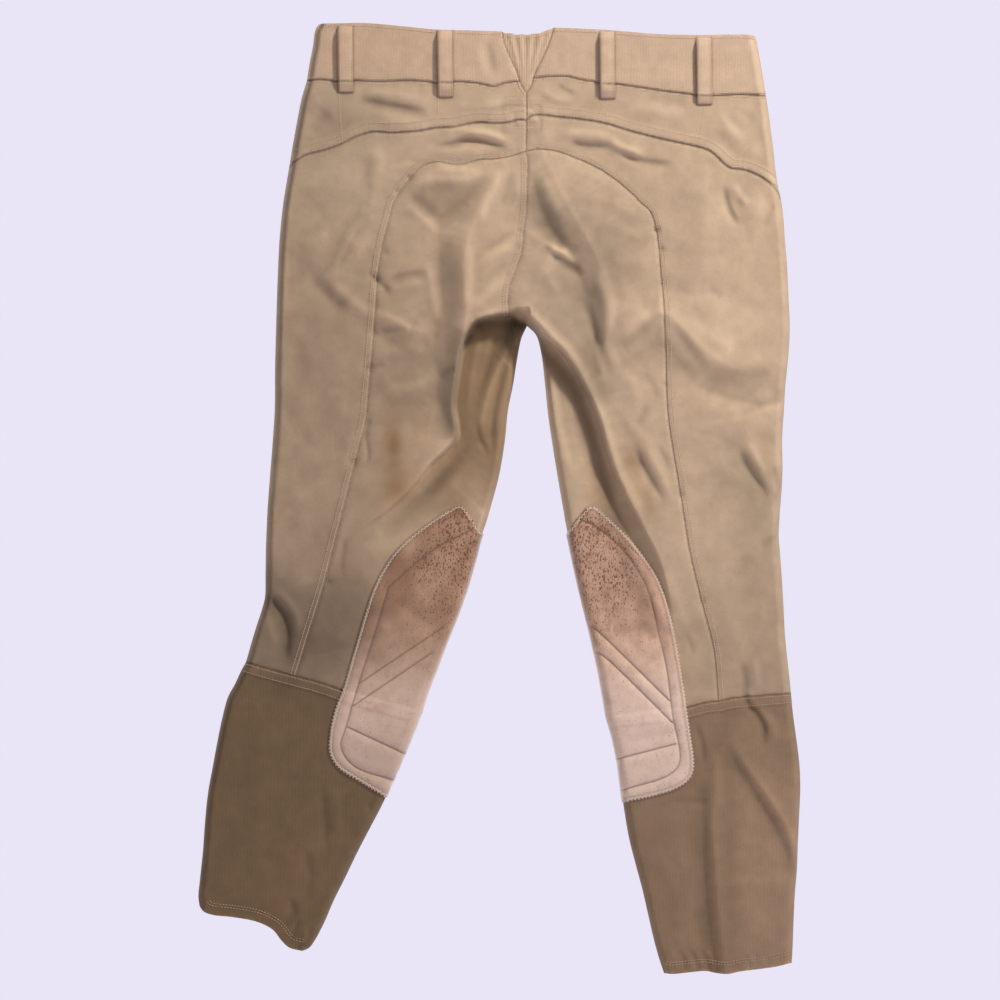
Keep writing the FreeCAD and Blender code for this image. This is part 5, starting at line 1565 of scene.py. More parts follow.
def metal_material():
    material, net, shader = new_material("aged_brass")
    position = net.node("ShaderNodeTexCoord").outputs["Object"]
    spots = net.noise(position, scale=300, detail=4, rough=0.6)
    scratches = net.noise(net.vector("MULTIPLY", position, (1.0, 1.0, 0.08)), scale=2500)
    net.put(shader.inputs["Base Color"],
            net.mix(net.ramp(spots, 0.4, 0.65), srgb(186, 150, 92), srgb(112, 84, 48)))
    shader.inputs["Metallic"].default_value = 1.0
    net.put(shader.inputs["Roughness"], net.math("MULTIPLY_ADD", spots, 0.3, 0.2))
    height = net.math("ADD", scratches, spots)
    net.put(shader.inputs["Normal"], net.bump(height, strength=0.25, distance=0.0001))
    return material


def zip_tape_material():
    material, net, shader = new_material("zip_tape")
    position = net.node("ShaderNodeTexCoord").outputs["Object"]
    threads = herringbone(net, position)
    mottle = net.math("MULTIPLY_ADD", net.noise(position, scale=500), 0.3, 0.6)
    bright = net.math("ADD", net.math("MULTIPLY", threads, 0.3), mottle)
    net.put(shader.inputs["Base Color"], net.brighten(BASE["tape"], bright))
    shader.inputs["Roughness"].default_value = 0.85
    shader.inputs["Sheen Weight"].default_value = 0.2
    net.put(shader.inputs["Normal"], net.bump(threads, strength=0.5, distance=0.0002))
    return material


CLOTHS = {
    "twill": cloth_material("twill", twill_weave),
    "front": cloth_material("twill_front", twill_weave),
    "band": cloth_material("band", rib_weave(0.0014), weave_contrast=0.03, weave_depth=0.00010),
    "elastic": cloth_material("elastic", rib_weave(0.0016), weave_contrast=0.10,
                              weave_depth=0.0004),
    "suede": cloth_material("suede", nap, rough=0.94, sheen=0.5, mottle=0.07, weave_depth=0.0004,
                            weave_contrast=0.16, relief_shade=0.12, wear=0.05, specks=suede_specks),
    "cuff": cloth_material("cuff", rib_weave(0.0013), mottle=0.085, weave_contrast=0.07,
                           weave_depth=0.00015, wear=0.45, relief_shade=0.4),
    "label": cloth_material("label", rib_weave(0.0009), colour=BASE["label"]),
}
# material and slot of each thread
THREADS = {
    "light": (thread_material("thread_light", srgb(208, 181, 153)), "twill"),
    "dark": (thread_material("thread_dark", srgb(150, 118, 92)), "suede"),
    "cream": (thread_material("thread_cream", srgb(226, 204, 184)), "suede"),
    "cuff": (thread_material("thread_cuff", srgb(178, 150, 125)), "cuff"),
}
METAL = metal_material()
ZIP_TAPE = zip_tape_material()

# ---------------------------------------------------------------- cloth pieces
PIECES = {}


def groove(u, v):
    """Relief of the seams, mm."""
    return -0.95 * bell(near_seam(u, v) / 1.5)


def stand_out(u, v):
    """How far the back cloth stands above (+) or below (-) its surroundings, mm."""
    around = sum(sample(BACK, u + a, v + b) for a, b in ((14, 0), (-14, 0), (0, 14), (0, -14)))
    return sample(BACK, u, v) - around / 4


def finish_piece(name, verts, faces, cloth, nodes, normals=None):
    """Adds a piece to the scene with its rest position, colour and wear kept on the mesh."""
    ob = link(name, verts, faces, CLOTHS[cloth])
    mesh = ob.data
    add_attribute(mesh, "rest", "FLOAT_VECTOR", "vector", verts)
    if normals is not None:
        mesh.normals_split_custom_set_from_vertices([tuple(n) for n in normals.tolist()])
    # back to the pattern, the reverse of place()
    y = verts[:, 1]
    scale = 1 + np.minimum((y - SIDE_Y) / VIEW_DISTANCE, 0)
    u = ((verts[:, 0] - CAM_X) / scale + CAM_X) / UNIT + U0
    v = V0 - ((verts[:, 2] - CAM_Z) / scale + CAM_Z) / UNIT
    colour = np.hstack([tone(u, v, y, cloth), np.ones((len(verts), 1))])
    add_attribute(mesh, "tone", "FLOAT_COLOR", "color", colour)
    to_seam = np.where((y < 0.0198) | (v > 560), near_seam(u, v), 99.0)
    to_seam = np.minimum(to_seam, near_free_edge(u, v))
    add_attribute(mesh, "seam", "FLOAT", "value", bell(to_seam / 2.2))
    front = cloth == "front"
    # relief: how far the cloth stands out, used for painted shade and painted highlight
    relief = np.full(len(verts), 0.5) if front else np.clip(0.5 + 0.16 * stand_out(u, v), 0, 1)
    add_attribute(mesh, "relief", "FLOAT", "value", relief)
    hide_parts(*nodes)
    PIECES[name] = ob


def back_piece(name, node, cloth, loop, pitch=1.85, lift=0.0):
    uv, faces = triangulate(loop, pitch * (1.0), rings=(0.55, 1.4, 2.8, 4.8))
    sheet = back_point(uv[:, 0], uv[:, 1], lift, groove)
    verts, faces, normals = solid(sheet, faces, BACK_THICK, outward=-1, bulge=0.0)
    finish_piece(name, verts, faces, cloth, [node], normals)


def front_piece(name, node, cloth, loop, relief=None):
    uv, faces = triangulate(loop, 3.6, rings=(0.8, 2.2, 4.4))
    sheet = front_point(uv[:, 0], uv[:, 1], relief=relief)
    verts, faces, normals = solid(sheet, faces, FRONT_THICK, outward=1, bulge=0.3)
    finish_piece(name, verts, faces, cloth, [node], normals)


# ---------------------------------------------------------------- back layer
back_piece("band_back_left", "waistband_back_left", "band",
           join(TOP_LEFT, GUSSET_LEFT[0], WAIST_LEFT[::-1], SIDE_LEFT[0][::-1]), lift=BAND_LIFT)
back_piece("band_back_right", "waistband_back_right", "band",
           join(TOP_RIGHT, SIDE_RIGHT[0], WAIST_RIGHT[::-1], GUSSET_RIGHT[0][::-1]),
           lift=BAND_LIFT)
back_piece("gusset_elastic", "back_gusset", "elastic",
           join(TOP_GUSSET, *GUSSET_RIGHT, GUSSET_LEFT[1][::-1], GUSSET_LEFT[0][::-1]), pitch=1.5)
back_piece("yoke_cloth_left", "yoke_left", "twill",
           join(SIDE_LEFT[1], YOKE_LEFT, CENTRE[0][::-1], GUSSET_LEFT[1][::-1],
                WAIST_LEFT[::-1]))
back_piece("yoke_cloth_right", "yoke_right", "twill",
           join(CENTRE[0], YOKE_RIGHT, SIDE_RIGHT[1][::-1], WAIST_RIGHT[::-1], GUSSET_RIGHT[1]))
back_piece("seat_cloth_outer_left", "seat_outer_left", "twill",
           join(YOKE_LEFT, CENTRE[1], ARC_LEFT[0], CUT_LEFT[0][::-1], SIDE_LEFT[2][::-1]))
back_piece("seat_cloth_inner_left", "seat_inner_left", "twill",
           join(CENTRE[2], CROTCH, INNER_LEFT[0], CUT_LEFT[1][::-1], ARC_LEFT[0][::-1]),
           pitch=1.9)
back_piece("seat_cloth_outer_right", "seat_outer_right", "twill",
           join(YOKE_RIGHT, SIDE_RIGHT[2], CUT_RIGHT[1][::-1], ARC_RIGHT[0][::-1],
                CENTRE[1][::-1]))
back_piece("seat_cloth_inner_right", "seat_inner_right", "twill",
           join(ARC_RIGHT[0], CUT_RIGHT[0][::-1], INNER_RIGHT[0][::-1], CROTCH[::-1],
                CENTRE[2][::-1]), pitch=1.9)
back_piece("leg_cloth_outer_left", "thigh_outer_left", "twill",
           join(CUT_LEFT[0], ARC_LEFT[1], KNEE_LEFT[0][::-1], SIDE_LEFT[3][::-1]))
back_piece("leg_cloth_inner_left", "thigh_inner_left", "twill",
           join(CUT_LEFT[1], INNER_LEFT[1], KNEE_LEFT[1][::-1], ARC_LEFT[1][::-1]))
back_piece("leg_cloth_outer_right", "thigh_outer_right", "twill",
           join(CUT_RIGHT[1], SIDE_RIGHT[3], KNEE_RIGHT[1][::-1], ARC_RIGHT[1][::-1]))
back_piece("leg_cloth_inner_right", "thigh_inner_right", "twill",
           join(CUT_RIGHT[0], ARC_RIGHT[1], KNEE_RIGHT[0][::-1], INNER_RIGHT[1][::-1]))
back_piece("cuff_cloth_back_left", "cuff_back_left", "cuff",
           join(*KNEE_LEFT, INNER_LEFT[2], HEM_LEFT[::-1], SIDE_LEFT[4][::-1]))
back_piece("cuff_cloth_back_right", "cuff_back_right", "cuff",
           join(*KNEE_RIGHT, SIDE_RIGHT[4], HEM_RIGHT[::-1], INNER_RIGHT[2][::-1]))

# ---------------------------------------------------------------- front layer
FRONT_TOP_LEFT, = curves("318.5,24.5 345,31 420,40 527,46 544,46")
FRONT_TOP_RIGHT, = curves("544,46 640,44 720,40.5 756,38")
BAND_SPLIT, = curves("544,46 544,98")
# top edges of the front cloth, which stop at the fly slot
CLOTH_TOP_LEFT, = curves("306.8,81 360,88 420,92 500,97 518.7,97.8")
CLOTH_TOP_RIGHT, = curves("535.5,98 640,98 766,95.7")
# each side of the slot: down, then in to the centre
SLOT_LEFT = curves("518.7,97.8 518.7,218.7 / 527.1,218.7")
SLOT_RIGHT = curves("535.5,98 535.5,218.7 / 527.1,218.7")
RISE, = curves("527.1,218.7 527,326")
FRONT_CUT_LEFT, = curves("267,520 487,520")
FRONT_CUT_RIGHT, = curves("565,520 779.5,520")
FRONT_KNEE_LEFT, = curves("246,662 300,676 360,696 421.3,712")
FRONT_KNEE_RIGHT, = curves("606.5,716.5 680,712 740,702 791,693")


def band_relief(u, v):
    """The front waistband stands 0.5 mm above the front cloth."""
    return np.full(np.shape(u), 0.5)


front_piece("band_front_left", "waistband_front_left", "band",
            join(FRONT_TOP_LEFT, BAND_SPLIT, FRONT_WAIST_LEFT[::-1], SIDE_LEFT[0][::-1]),
            band_relief)
front_piece("band_front_right", "waistband_front_right", "band",
            join(FRONT_TOP_RIGHT, SIDE_RIGHT[0], FRONT_WAIST_RIGHT[::-1], BAND_SPLIT[::-1]),
            band_relief)
front_piece("front_cloth_left", "front_upper_left", "front",
            join(CLOTH_TOP_LEFT, *SLOT_LEFT, RISE, INNER_LEFT[0], FRONT_CUT_LEFT[::-1],
                 SIDE_LEFT[2][::-1], SIDE_LEFT[1][::-1]))
front_piece("front_cloth_right", "front_upper_right", "front",
            join(CLOTH_TOP_RIGHT, SIDE_RIGHT[1], SIDE_RIGHT[2], FRONT_CUT_RIGHT[::-1],
                 INNER_RIGHT[0][::-1], RISE[::-1], SLOT_RIGHT[1][::-1], SLOT_RIGHT[0][::-1]))
front_piece("front_leg_left", "front_thigh_left", "front",
            join(FRONT_CUT_LEFT, INNER_LEFT[1], FRONT_KNEE_LEFT[::-1], SIDE_LEFT[3][::-1]))
front_piece("front_leg_right", "front_thigh_right", "front",
            join(FRONT_CUT_RIGHT, SIDE_RIGHT[3], FRONT_KNEE_RIGHT[::-1], INNER_RIGHT[1][::-1]))
front_piece("cuff_cloth_front_left", "cuff_front_left", "cuff",
            join(FRONT_KNEE_LEFT, INNER_LEFT[2], HEM_LEFT[::-1], SIDE_LEFT[4][::-1]))
front_piece("cuff_cloth_front_right", "cuff_front_right", "cuff",
            join(FRONT_KNEE_RIGHT, SIDE_RIGHT[4], HEM_RIGHT[::-1], INNER_RIGHT[2][::-1]))


# ---------------------------------------------------------------- suede knee patches
def knee_patch(tag, patch):
    """A back half and a front half that meet along the inner edge of the leg."""
    stand_off = 1.4e-3 * np.array([patch.outward, 0.0, 0.0])
    uv, faces = triangulate(patch.loop, 1.9 * (1.0),
                            (0.3, 0.8, 1.5, 2.4, 3.6, 5.2), patch.quilting)
    u, v = uv.T
    sheet = back_point(u, v, 1.25e-3 + 1e-3 * patch.puff(u, v))
    # beside the inner edge the patch stands off sideways, not towards the viewer
    k = smooth(patch.inner_distance(u, v) / 1.6)[:, None]
    sheet = sheet * k + (back_point(u, v) + stand_off) * (1 - k)
    back_verts, back_faces, _ = solid(sheet, faces, FRONT_THICK, outward=-1, bulge=0.1)

    uv, faces = triangulate(patch.loop, 2.6 * (1.0), (0.8, 2.2, 4.0),
                            patch.quilting)
    u, v = uv.T
    d = patch.inner_distance(u, v)
    sheet = front_point(u, v, 1.3e-3 * smooth(d / 3 + 0.2)
                        + 0.6e-3 * smooth(patch.edge_distance(u, v) / 9) * smooth(d / 10))
    rim = d < 0.05
    sheet[rim] = back_point(u[rim], v[rim]) + stand_off + np.array([0.0, 0.4e-3, 0.0])
    front_verts, front_faces, _ = solid(sheet, faces, FRONT_THICK, outward=1, bulge=0.1)

    count = len(back_verts)
    faces = back_faces + [tuple(i + count for i in f) for f in front_faces]
    finish_piece("knee_suede_" + tag, np.vstack([back_verts, front_verts]), faces, "suede",
                 ["knee_patch_upper_" + tag, "knee_patch_lower_" + tag])


for tag, patch in PATCHES.items():
    knee_patch(tag, patch)


# ---------------------------------------------------------------- belt loops
LOOP_LEAN = 1.2      # how far u shifts from the top to the bottom of a loop


def loop_bow(s):
    """How far a loop stands off the band; s runs from 0 at its top to 1 at its bottom."""
    return (2.6e-3 * smooth(s / 0.13) * smooth((1 - s) / 0.13)
            + 0.5e-3 * np.sin(math.pi * s))


def strap(surface, side, lift, middle, top, bottom, half_width):
    """Vertices and faces of one belt loop."""
    rows, cols = 34, 9
    s = np.arange(rows) / (rows - 1)
    u, v = middle + (s - 0.5) * LOOP_LEAN, np.linspace(top, bottom, rows)
    centre = surface(u, v, lift)
    across = surface(u + 3, v, lift) - centre
    down = surface(u, v + 3, lift) - centre
    across /= np.linalg.norm(across, axis=1, keepdims=True)
    down /= np.linalg.norm(down, axis=1, keepdims=True)
    normal = np.cross(across, down)
    normal /= np.linalg.norm(normal, axis=1, keepdims=True)
    normal[normal[:, 1] * side < 0] *= -1
    centre = centre + normal * (0.5e-3 + loop_bow(s))[:, None]
    # rounded edges, and a groove under each row of edge stitching
    t = np.linspace(-1, 1, cols)
    height = 0.35e-3 * (1 - abs(t) ** 6) - 0.25e-3 * bell((abs(t) - 0.72) / 0.08)
    sheet = (centre[:, None] + across[:, None] * half_width * t[None, :, None]
             + normal[:, None] * height[None, :, None]).reshape(-1, 3)
    faces = []
    for i in range(rows - 1):
        for j in range(cols - 1):
            a = i * cols + j
            faces += [(a, a + 1, a + cols + 1), (a, a + cols + 1, a + cols)]
    verts, faces, _ = solid(sheet, np.array(faces), 1.2e-3, outward=side, bulge=0.45)
    return verts, faces


def straps(name, node, surface, side, lift, places):
    verts, faces, count = [], [], 0
    for item in places:
        strap_verts, strap_faces = strap(surface, side, lift, *item)
        faces += [tuple(i + count for i in f) for f in strap_faces]
        verts.append(strap_verts)
        count += len(strap_verts)
    finish_piece(name, np.vstack(verts), faces, "band", [node])


straps("belt_loop_straps_back", "belt_loops_back", back_point, -1, 0.6e-3, LOOPS_BACK)
straps("belt_loop_straps_front", "belt_loops_front", front_point, 1, 0.8e-3, LOOPS_FRONT)


# ---------------------------------------------------------------- waist tab, fly shield, label
def rounded(radius_x, radius_z):
    """A rounded rectangle in a unit square, counter-clockwise from the right."""
    out = []
    for x, z, start in ((1 - radius_x, 1 - radius_z, 0), (radius_x, 1 - radius_z, 90),
                        (radius_x, radius_z, 180), (1 - radius_x, radius_z, 270)):
        for i in range(6):
            a = math.radians(start + 90 * i / 5)
            out.append((x + radius_x * math.cos(a), z + radius_z * math.sin(a)))
    return out


def cushion(name, node, outline, cloth, wave):
    """A flat cloth piece in the box of its CAD node, facing +Y, with soft edges and a slight
    wave. Its outline is in shares of the box."""
    low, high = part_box(node)
    loop = np.array([(low[0] + (high[0] - low[0]) * a, low[2] + (high[2] - low[2]) * b)
                     for a, b in outline])
    loop = resample(closed(loop), 0.0013)[:-1]
    edge_distance = Near([closed(loop)])
    x, z = np.meshgrid(np.arange(low[0], high[0], 0.0016), np.arange(low[2], high[2], 0.0016))
    grid = np.stack([x.ravel(), z.ravel()], -1)
    grid = grid[inside(grid, loop)]
    grid = grid[edge_distance(grid[:, 0], grid[:, 1]) > 0.0007]
    count = len(loop)
    found, _, faces, _, _, _ = geometry.delaunay_2d_cdt(
        [Vector((float(a), float(b))) for a, b in np.vstack([loop, grid])],
        [(i, (i + 1) % count) for i in range(count)], [], 1, 1e-9)
    found = np.array([(p.x, p.y) for p in found])
    faces = np.array([f for f in faces if len(f) == 3], int)
    faces = faces[inside(found[faces].mean(1), loop)]
    x, z = found.T
    edge = edge_distance(x, z)
    y = (high[1] - wave * (1 + np.sin(z * 260 + x * 90)) * 0.5
         - 0.3e-3 * bell((edge - 0.0028) / 0.0007) - 0.35e-3 * bell(edge / 0.0008))
    verts, faces, _ = solid(np.stack([x, y, z], -1), faces, (high[1] - low[1]) * 0.75,
                            outward=1, bulge=0.3)
    finish_piece(name, verts, faces, cloth, [node])


def blank_label():
    """A small label inside the back, below the waist seam."""
    loop = resample(points("506,102 546,102 546,132 506,132 506,102"), 1.6)[:-1]
    uv, faces = triangulate(loop, 2.0)
    sheet = back_point(uv[:, 0], uv[:, 1], -1.75e-3, groove)
    sheet[:, 1] += 0.5e-3
    verts, faces, normals = solid(sheet, faces, 0.4e-3, outward=-1, bulge=0.2)
    finish_piece("blank_label_cloth", verts, faces, "label", ["blank_label"], normals)


# the tab's -X end is rounded, its +X end is square
TAB = [(1, 0), (1, 1)] + [(a, b) for a, b in rounded(0.2, 0.24) if a < 0.5]
cushion("waist_tab_cloth", "waist_tab", TAB, "band", 0.1e-3)
cushion("fly_shield_cloth", "fly_shield", rounded(0.12, 0.04), "front", 0.5e-3)
blank_label()

# ---------------------------------------------------------------- stitches
# (zone, thread) to a list of centre, half vector, normal, sideways vector and radius
SEAM_STITCHES, TRIM_STITCHES = {}, {}
GARMENT = join(*SIDE_LEFT, HEM_LEFT, *[part[::-1] for part in INNER_LEFT[::-1]], *INNER_RIGHT,
               HEM_RIGHT, *[part[::-1] for part in SIDE_RIGHT[::-1]],
               TOP_RIGHT[::-1], TOP_GUSSET[::-1], TOP_LEFT[::-1])


def zone_of(u, v):
    if v < 300:
        return "seat"
    return ("hip_" if v < 520 else "knee_") + ("left" if u < 527 else "right")


def sew(line, pitch=2.9, size=2.15, radius=0.35e-3, surface=back_point, relief=groove, lift=0.0,
        thread="light", skip=None, zone=None, pairs=None):
    """Short raised threads along a line. pairs gives their ends outright; skip(u, v) tells
    where there are none. A line shorter than one pitch gets no stitches."""
    line = as_points(line)
    run = np.r_[0, np.cumsum(gaps(line))]
    count = int(run[-1] / pitch)
    if count < 1:
        return
    if pairs is None:
        centres = (np.arange(count) + 0.5) * run[-1] / count
        start, end = (np.stack([np.interp(c, run, line[:, 0]), np.interp(c, run, line[:, 1])], -1)
                      for c in (centres - size / 2, centres + size / 2))
    else:
        start, end = pairs
    middle = (start + end) / 2
    keep = np.ones(len(middle), bool)
    if surface is back_point:
        keep &= inside(middle, GARMENT) & (side_distance(middle[:, 0], middle[:, 1]) > 0.9)
    if skip is not None:
        keep &= ~skip(middle[:, 0], middle[:, 1])
    start, end, middle = start[keep], end[keep], middle[keep]
    if not len(middle):
        return
    lifts = lift(middle[:, 0], middle[:, 1]) if callable(lift) else np.full(len(middle), lift)
    a, b, centre = (surface(p[:, 0], p[:, 1], lifts, relief) for p in (start, end, middle))
    if surface is back_point:
        normal = back_point(middle[:, 0], middle[:, 1], lifts + 1e-3, relief) - centre
    else:
        normal = np.tile([0, 1.0, 0], (len(centre), 1))
    normal /= np.linalg.norm(normal, axis=1, keepdims=True)
    step = b - a
    sideways = np.cross(step / np.linalg.norm(step, axis=1, keepdims=True), normal)
    for i in range(len(middle)):
        key = (zone or zone_of(middle[i, 0], middle[i, 1]), thread)
        SEAM_STITCHES.setdefault(key, []).append(
            (centre[i], step[i] / 2, normal[i], sideways[i], radius))


def build_stitches(stitches):
    """One object for each zone and thread. A stitch is five rings of six points."""
    ring = [(math.cos(k * math.pi / 3), math.sin(k * math.pi / 3)) for k in range(6)]
    # place along the stitch, share of the radius, rise in radii: the ends sink into the cloth
    profile = [(-1.0, 0.35, -0.55), (-0.72, 0.92, 0.12), (0.0, 1.0, 0.42), (0.72, 0.92, 0.12),
               (1.0, 0.35, -0.55)]
    walls = np.array([(a * 6 + k, a * 6 + (k + 1) % 6, (a + 1) * 6 + (k + 1) % 6, (a + 1) * 6 + k)
                      for a in range(4) for k in range(6)])
    out = {}
    for key, items in stitches.items():
        centre, half, normal, sideways, radius = (np.array(column) for column in zip(*items))
        verts = np.stack([centre + half * s + normal * (radius * (rise + share * y))[:, None]
                          + sideways * (radius * share * x)[:, None]
                          for s, share, rise in profile for x, y in ring], 1)
        first = np.arange(len(items)) * 30
        faces = (walls[None] + first[:, None, None]).reshape(-1, 4)
        caps = [tuple(int(i + k) for k in range(5, -1, -1)) for i in first]
        caps += [tuple(int(i + 24 + k) for k in range(6)) for i in first]
        material, slot = THREADS[key[1]]
        ob = link("stitches_%s_%s" % key, verts.reshape(-1, 3),
                  [tuple(f) for f in faces.tolist()] + caps, material)
        out[key] = ob
    return out


def on_patch(u, v):
    return PATCHES["left"].covers(u, v) | PATCHES["right"].covers(u, v)


def on_loop(u, v):
    return np.any([(np.abs(u - middle) < 9.2) & (v > top - 1) & (v < bottom + 1)
                   for middle, top, bottom, _ in LOOPS_BACK], axis=0)


def sew_back():
    for line, gap in ((YOKE_LEFT, -2.4), (YOKE_LEFT, -9.4), (YOKE_RIGHT, -2.4),
                      (YOKE_RIGHT, -9.0)):
        sew(offset(line, gap), skip=on_loop)
    for line, side in ((ARC_LINE_LEFT, 1), (ARC_LINE_RIGHT, -1)):
        for gap in (1.8, 5.6):
            sew(offset(line, side * gap), skip=on_patch)
    for line, gap in ((CENTRE[2], 1.8), (CENTRE[2], 5.0), (chain(CENTRE[:2]), 1.8),
                      (chain(CENTRE[:2]), -1.8)):
        sew(offset(line, gap))
    for line in (WAIST_LEFT, WAIST_RIGHT):
        sew(offset(line, 2.4), skip=on_loop)
        sew(offset(line, -2.4), lift=BAND_LIFT, skip=on_loop)
    for line in (TOP_LEFT, TOP_RIGHT):
        sew(offset(line, 3.2), lift=BAND_LIFT, skip=on_loop)
    sew(offset(TOP_GUSSET, 3.4), pitch=2.6)
    sew(offset(chain(GUSSET_LEFT), 1.6), lift=BAND_LIFT)
    sew(offset(chain(GUSSET_RIGHT), -1.6), lift=BAND_LIFT)
    for dart in ("340,93 341.5,118 344,143", "439.5,97 439.5,112 439,127",
                 "609,95.7 609,110 608,124", "705.7,107 703.5,122 701,138"):
        sew(offset(curve(points(dart)), 1.4), skip=on_loop)
    for line in KNEE_LINES:
        for gap in (2.2, 9.6):
            sew(offset(line, gap), thread="cuff", skip=on_patch)
    for line in (HEM_LEFT, HEM_RIGHT):
        for gap in (-9.0, -11.6):
            sew(offset(line, gap), thread="cuff", pitch=3.0)


def sew_front():
    for line, gap in ((FRONT_TOP_LEFT, 3.0), (FRONT_TOP_RIGHT, 3.0), (FRONT_WAIST_LEFT, -2.4),
                      (FRONT_WAIST_RIGHT, -2.4)):
        sew(offset(line, gap), surface=front_point, lift=0.12e-3, relief=band_relief, zone="seat")
    # waist, slot, and the double row that curves in below the slot
    for line in (offset(CLOTH_TOP_LEFT, 3.0), offset(CLOTH_TOP_RIGHT, 3.0),
                 offset(SLOT_LEFT[0], 2.0), offset(SLOT_RIGHT[0], -2.0),
                 curve(points("560,99 560,170 556,206 545,224 530,232")),
                 curve(points("564,99 564,171 560,208 548,227 530,236"))):
        sew(line, surface=front_point, relief=None, zone="seat")
    for line in (FRONT_KNEE_LEFT, FRONT_KNEE_RIGHT):
        sew(offset(line, 2.4), surface=front_point, relief=None, thread="cuff", skip=on_patch)


def sew_patch(patch):
    """A zigzag inside the edge and rows along the quilting lines."""
    def lift(u, v):
        return 1.3e-3 + 1e-3 * patch.puff(u, v)

    def off_patch(u, v):
        return ~patch.covers(u, v)

    edge = resample(patch.edge, 2.0)
    zigzag = offset(edge, -patch.outward * 1.7) + zigzag_steps(edge, 1.1)
    sew(zigzag[:2], pairs=(zigzag[:-1], zigzag[1:]), radius=0.32e-3, lift=lift, thread="cream",
        skip=off_patch, relief=None)
    for line in patch.quilting:
        sew(line, pitch=2.8, size=2.0, radius=0.26e-3, lift=lift, thread="dark", skip=off_patch,
            relief=None)


def loop_stitch(surface, side, start, end, lift, radius, upright):
    """One stitch on a belt loop. upright turns its normal square to the thread."""
    a, b = surface(*np.array([start, end]).T, lift)
    along = (b - a) / np.linalg.norm(b - a)
    normal = np.array([0.0, float(side), 0.0])
    if upright:
        normal -= along * (normal @ along)
        normal /= np.linalg.norm(normal)
    TRIM_STITCHES.setdefault(("loops", "light"), []).append(
        ((a + b) / 2, (b - a) / 2, normal, np.cross(along, normal), radius))


def sew_loop(surface, side, edge_lift, bar_lift, middle, top, bottom, half_width):
    """Rows along both edges of a belt loop and a bar across each end."""
    half = half_width / UNIT
    for shift in (-0.72 * half, 0.72 * half):
        count = int((bottom - top) / 2.9)
        for i in range(count):
            s = (i + 0.5) / count
            v = top + (bottom - top) * s
            u = middle + (s - 0.5) * LOOP_LEAN + shift
            loop_stitch(surface, side, (u, v - 1.0), (u, v + 1.0),
                        edge_lift + float(loop_bow(s)), 0.27e-3, upright=True)
    for v, lean in ((top + 3.0, -0.5 * LOOP_LEAN), (bottom - 3.0, 0.5 * LOOP_LEAN)):
        for i in range(11):
            u = middle + lean + (i - 5) * half * 0.15
            loop_stitch(surface, side, (u, v - 0.9), (u + 0.3, v + 0.9), bar_lift, 0.3e-3,
                        upright=False)


def sew_box(node, key, margin):
    """A row round the +Y face of a CAD node's box, a margin inside its edges."""
    low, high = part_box(node)
    x0, z0, x1, z1 = low[0] + margin, low[2] + margin, high[0] - margin, high[2] - margin
    ring = resample([(x0, z0), (x1, z0), (x1, z1), (x0, z1), (x0, z0)], 0.0027)
    normal = np.array([0.0, 1.0, 0.0])
    for a, b in zip(ring[:-1], ring[1:]):
        centre = np.array([(a[0] + b[0]) / 2, high[1] - 0.25e-3, (a[1] + b[1]) / 2])
        half = np.array([b[0] - a[0], 0, b[1] - a[1]]) * 0.38
        sideways = np.cross(half / np.linalg.norm(half), normal)
        TRIM_STITCHES.setdefault((key, "light"), []).append(
            (centre, half, normal, sideways, 0.24e-3))


sew_back()
sew_front()
for patch in PATCHES.values():
    sew_patch(patch)
SEWN = build_stitches(SEAM_STITCHES)

for place_of_loop in LOOPS_BACK:
    sew_loop(back_point, -1, 1.15e-3, 1.25e-3, *place_of_loop)
for place_of_loop in LOOPS_FRONT:
    sew_loop(front_point, 1, 1.35e-3, 1.45e-3, *place_of_loop)
sew_box("waist_tab", "tab", 0.003)
sew_box("blank_label", "label", 0.0015)
SEWN.update(build_stitches(TRIM_STITCHES))


def bend_at_hip(ob):
    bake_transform(ob)


def bend_at_knee(ob):
    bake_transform(ob)


for name in ("band_back_left", "band_back_right", "gusset_elastic", "yoke_cloth_left",
             "yoke_cloth_right", "band_front_left", "band_front_right", "belt_loop_straps_back",
             "belt_loop_straps_front", "fly_shield_cloth", "blank_label_cloth"):
    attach(PIECES[name], "seat")
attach(PIECES["waist_tab_cloth"], "waist_flap")
for side in ("left", "right"):
    for name in ("seat_cloth_outer_", "seat_cloth_inner_", "front_cloth_"):
        bend_at_hip(PIECES[name + side])
    for name in ("leg_cloth_outer_", "leg_cloth_inner_", "front_leg_", "cuff_cloth_back_",
                 "cuff_cloth_front_", "knee_suede_"):
        bend_at_knee(PIECES[name + side])
for (zone, _), ob in SEWN.items():
    if zone in ("seat", "loops", "label"):
        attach(ob, "seat")
    elif zone == "tab":
        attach(ob, "waist_flap")
    elif zone.startswith("hip_"):
        bend_at_hip(ob)
    else:
        bend_at_knee(ob)

# ---------------------------------------------------------------- hardware kept from the CAD
for name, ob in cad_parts.items():
    if ob.hide_render:
        continue
    ob.data.materials.clear()
    ob.data.materials.append(ZIP_TAPE if name.startswith("zip_tape") else METAL)
    for polygon in ob.data.polygons:
        polygon.material_index = 0

# ---------------------------------------------------------------- studio
BACKDROP = (*srgb(233, 229, 246), 1)


def add_camera():
    cam = bpy.data.objects.new("camera", bpy.data.cameras.new("camera"))
    scene.collection.objects.link(cam)
    cam.data.lens, cam.data.sensor_width = LENS, SENSOR
    distance = VIEW_DISTANCE * VIEW_UNITS * UNIT / VIEW_WIDTH
    cam.location = (CAM_X, SIDE_Y - distance, CAM_Z)
    cam.rotation_euler = (math.radians(90), 0, 0)
    cam.data.clip_end = 50
    scene.camera = cam


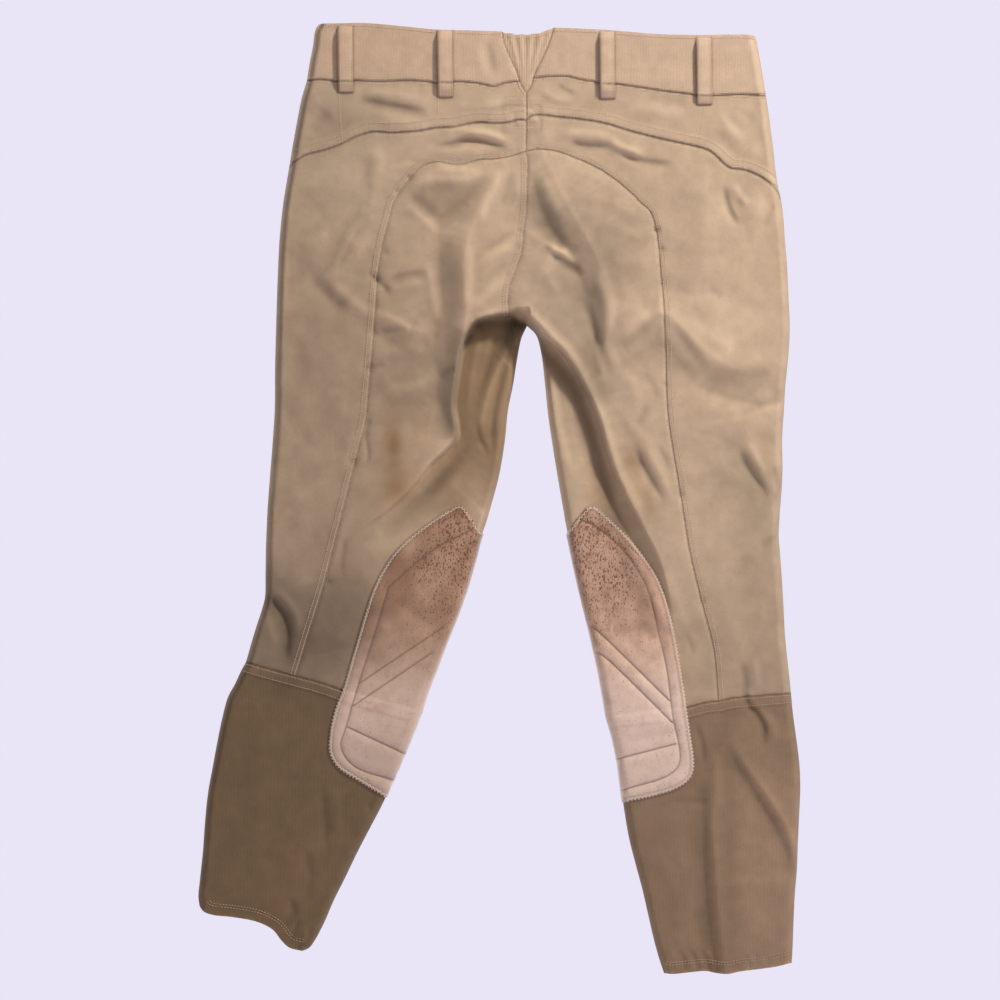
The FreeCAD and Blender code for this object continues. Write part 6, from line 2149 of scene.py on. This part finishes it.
def add_light(name, location, target, size, power, colour):
    light = bpy.data.lights.new(name, "AREA")
    light.shape = "DISK"
    light.size, light.energy, light.color = size, power, colour
    ob = bpy.data.objects.new(name, light)
    ob.location = location
    aim = Vector(target) - Vector(location)
    ob.rotation_euler = aim.to_track_quat("-Z", "Y").to_euler()
    scene.collection.objects.link(ob)


def add_world():
    """The camera sees an even backdrop; the cloth is lit by a dimmer, nearly white one."""
    world = bpy.data.worlds.new("studio")
    scene.world = world
    world.use_nodes = True
    tree = world.node_tree
    tree.nodes.clear()
    out = tree.nodes.new("ShaderNodeOutputWorld")
    mixer = tree.nodes.new("ShaderNodeMixShader")
    seen = tree.nodes.new("ShaderNodeBackground")
    lit = tree.nodes.new("ShaderNodeBackground")
    seen.inputs[0].default_value = BACKDROP
    lit.inputs[0].default_value = (0.96, 0.96, 1.0, 1)
    lit.inputs[1].default_value = 0.17
    rays = tree.nodes.new("ShaderNodeLightPath")
    tree.links.new(rays.outputs["Is Camera Ray"], mixer.inputs[0])
    tree.links.new(lit.outputs[0], mixer.inputs[1])
    tree.links.new(seen.outputs[0], mixer.inputs[2])
    tree.links.new(mixer.outputs[0], out.inputs[0])


def add_floor():
    """A plain pale floor that the camera sees as the same even backdrop."""
    material, net, shader = new_material("floor_plain")
    shader.inputs["Base Color"].default_value = (*srgb(228, 225, 238), 1)
    shader.inputs["Roughness"].default_value = 0.95
    glow = net.node("ShaderNodeEmission")
    glow.inputs[0].default_value = BACKDROP
    mixer, rays = net.node("ShaderNodeMixShader"), net.node("ShaderNodeLightPath")
    out = next(node for node in net.tree.nodes if node.type == "OUTPUT_MATERIAL")
    net.put(mixer.inputs[0], rays.outputs["Is Camera Ray"])
    net.put(mixer.inputs[1], shader.outputs[0])
    net.put(mixer.inputs[2], glow.outputs[0])
    net.put(out.inputs[0], mixer.outputs[0])
    z, half = CAD_BOX[0][2] - 0.004, 6
    corners = [(-half, -half, z), (half, -half, z), (half, half, z), (-half, half, z)]
    link("floor", np.array(corners, float), [(0, 1, 2, 3)], material, False)


add_camera()
MIDDLE = (0.0, 0.0, -0.42)
add_light("key", (1.55, -1.12, 1.6), target=(0.05, 0.0, -0.35), size=0.36, power=73,
          colour=(1.0, 0.98, 0.94))
add_light("fill", (-0.9, -2.6, 0.2), target=MIDDLE, size=1.8, power=7, colour=(1.0, 0.99, 0.96))
add_light("front_key", (-0.9, 1.6, 1.5), target=MIDDLE, size=0.5, power=46,
          colour=(1.0, 0.985, 0.95))
add_light("front_fill", (1.0, 2.6, 0.2), target=MIDDLE, size=1.8, power=5,
          colour=(1.0, 0.99, 0.97))
add_world()
add_floor()
scene.view_settings.view_transform = "Standard"
scene.view_settings.look = "None"
scene.view_settings.exposure = 0.0
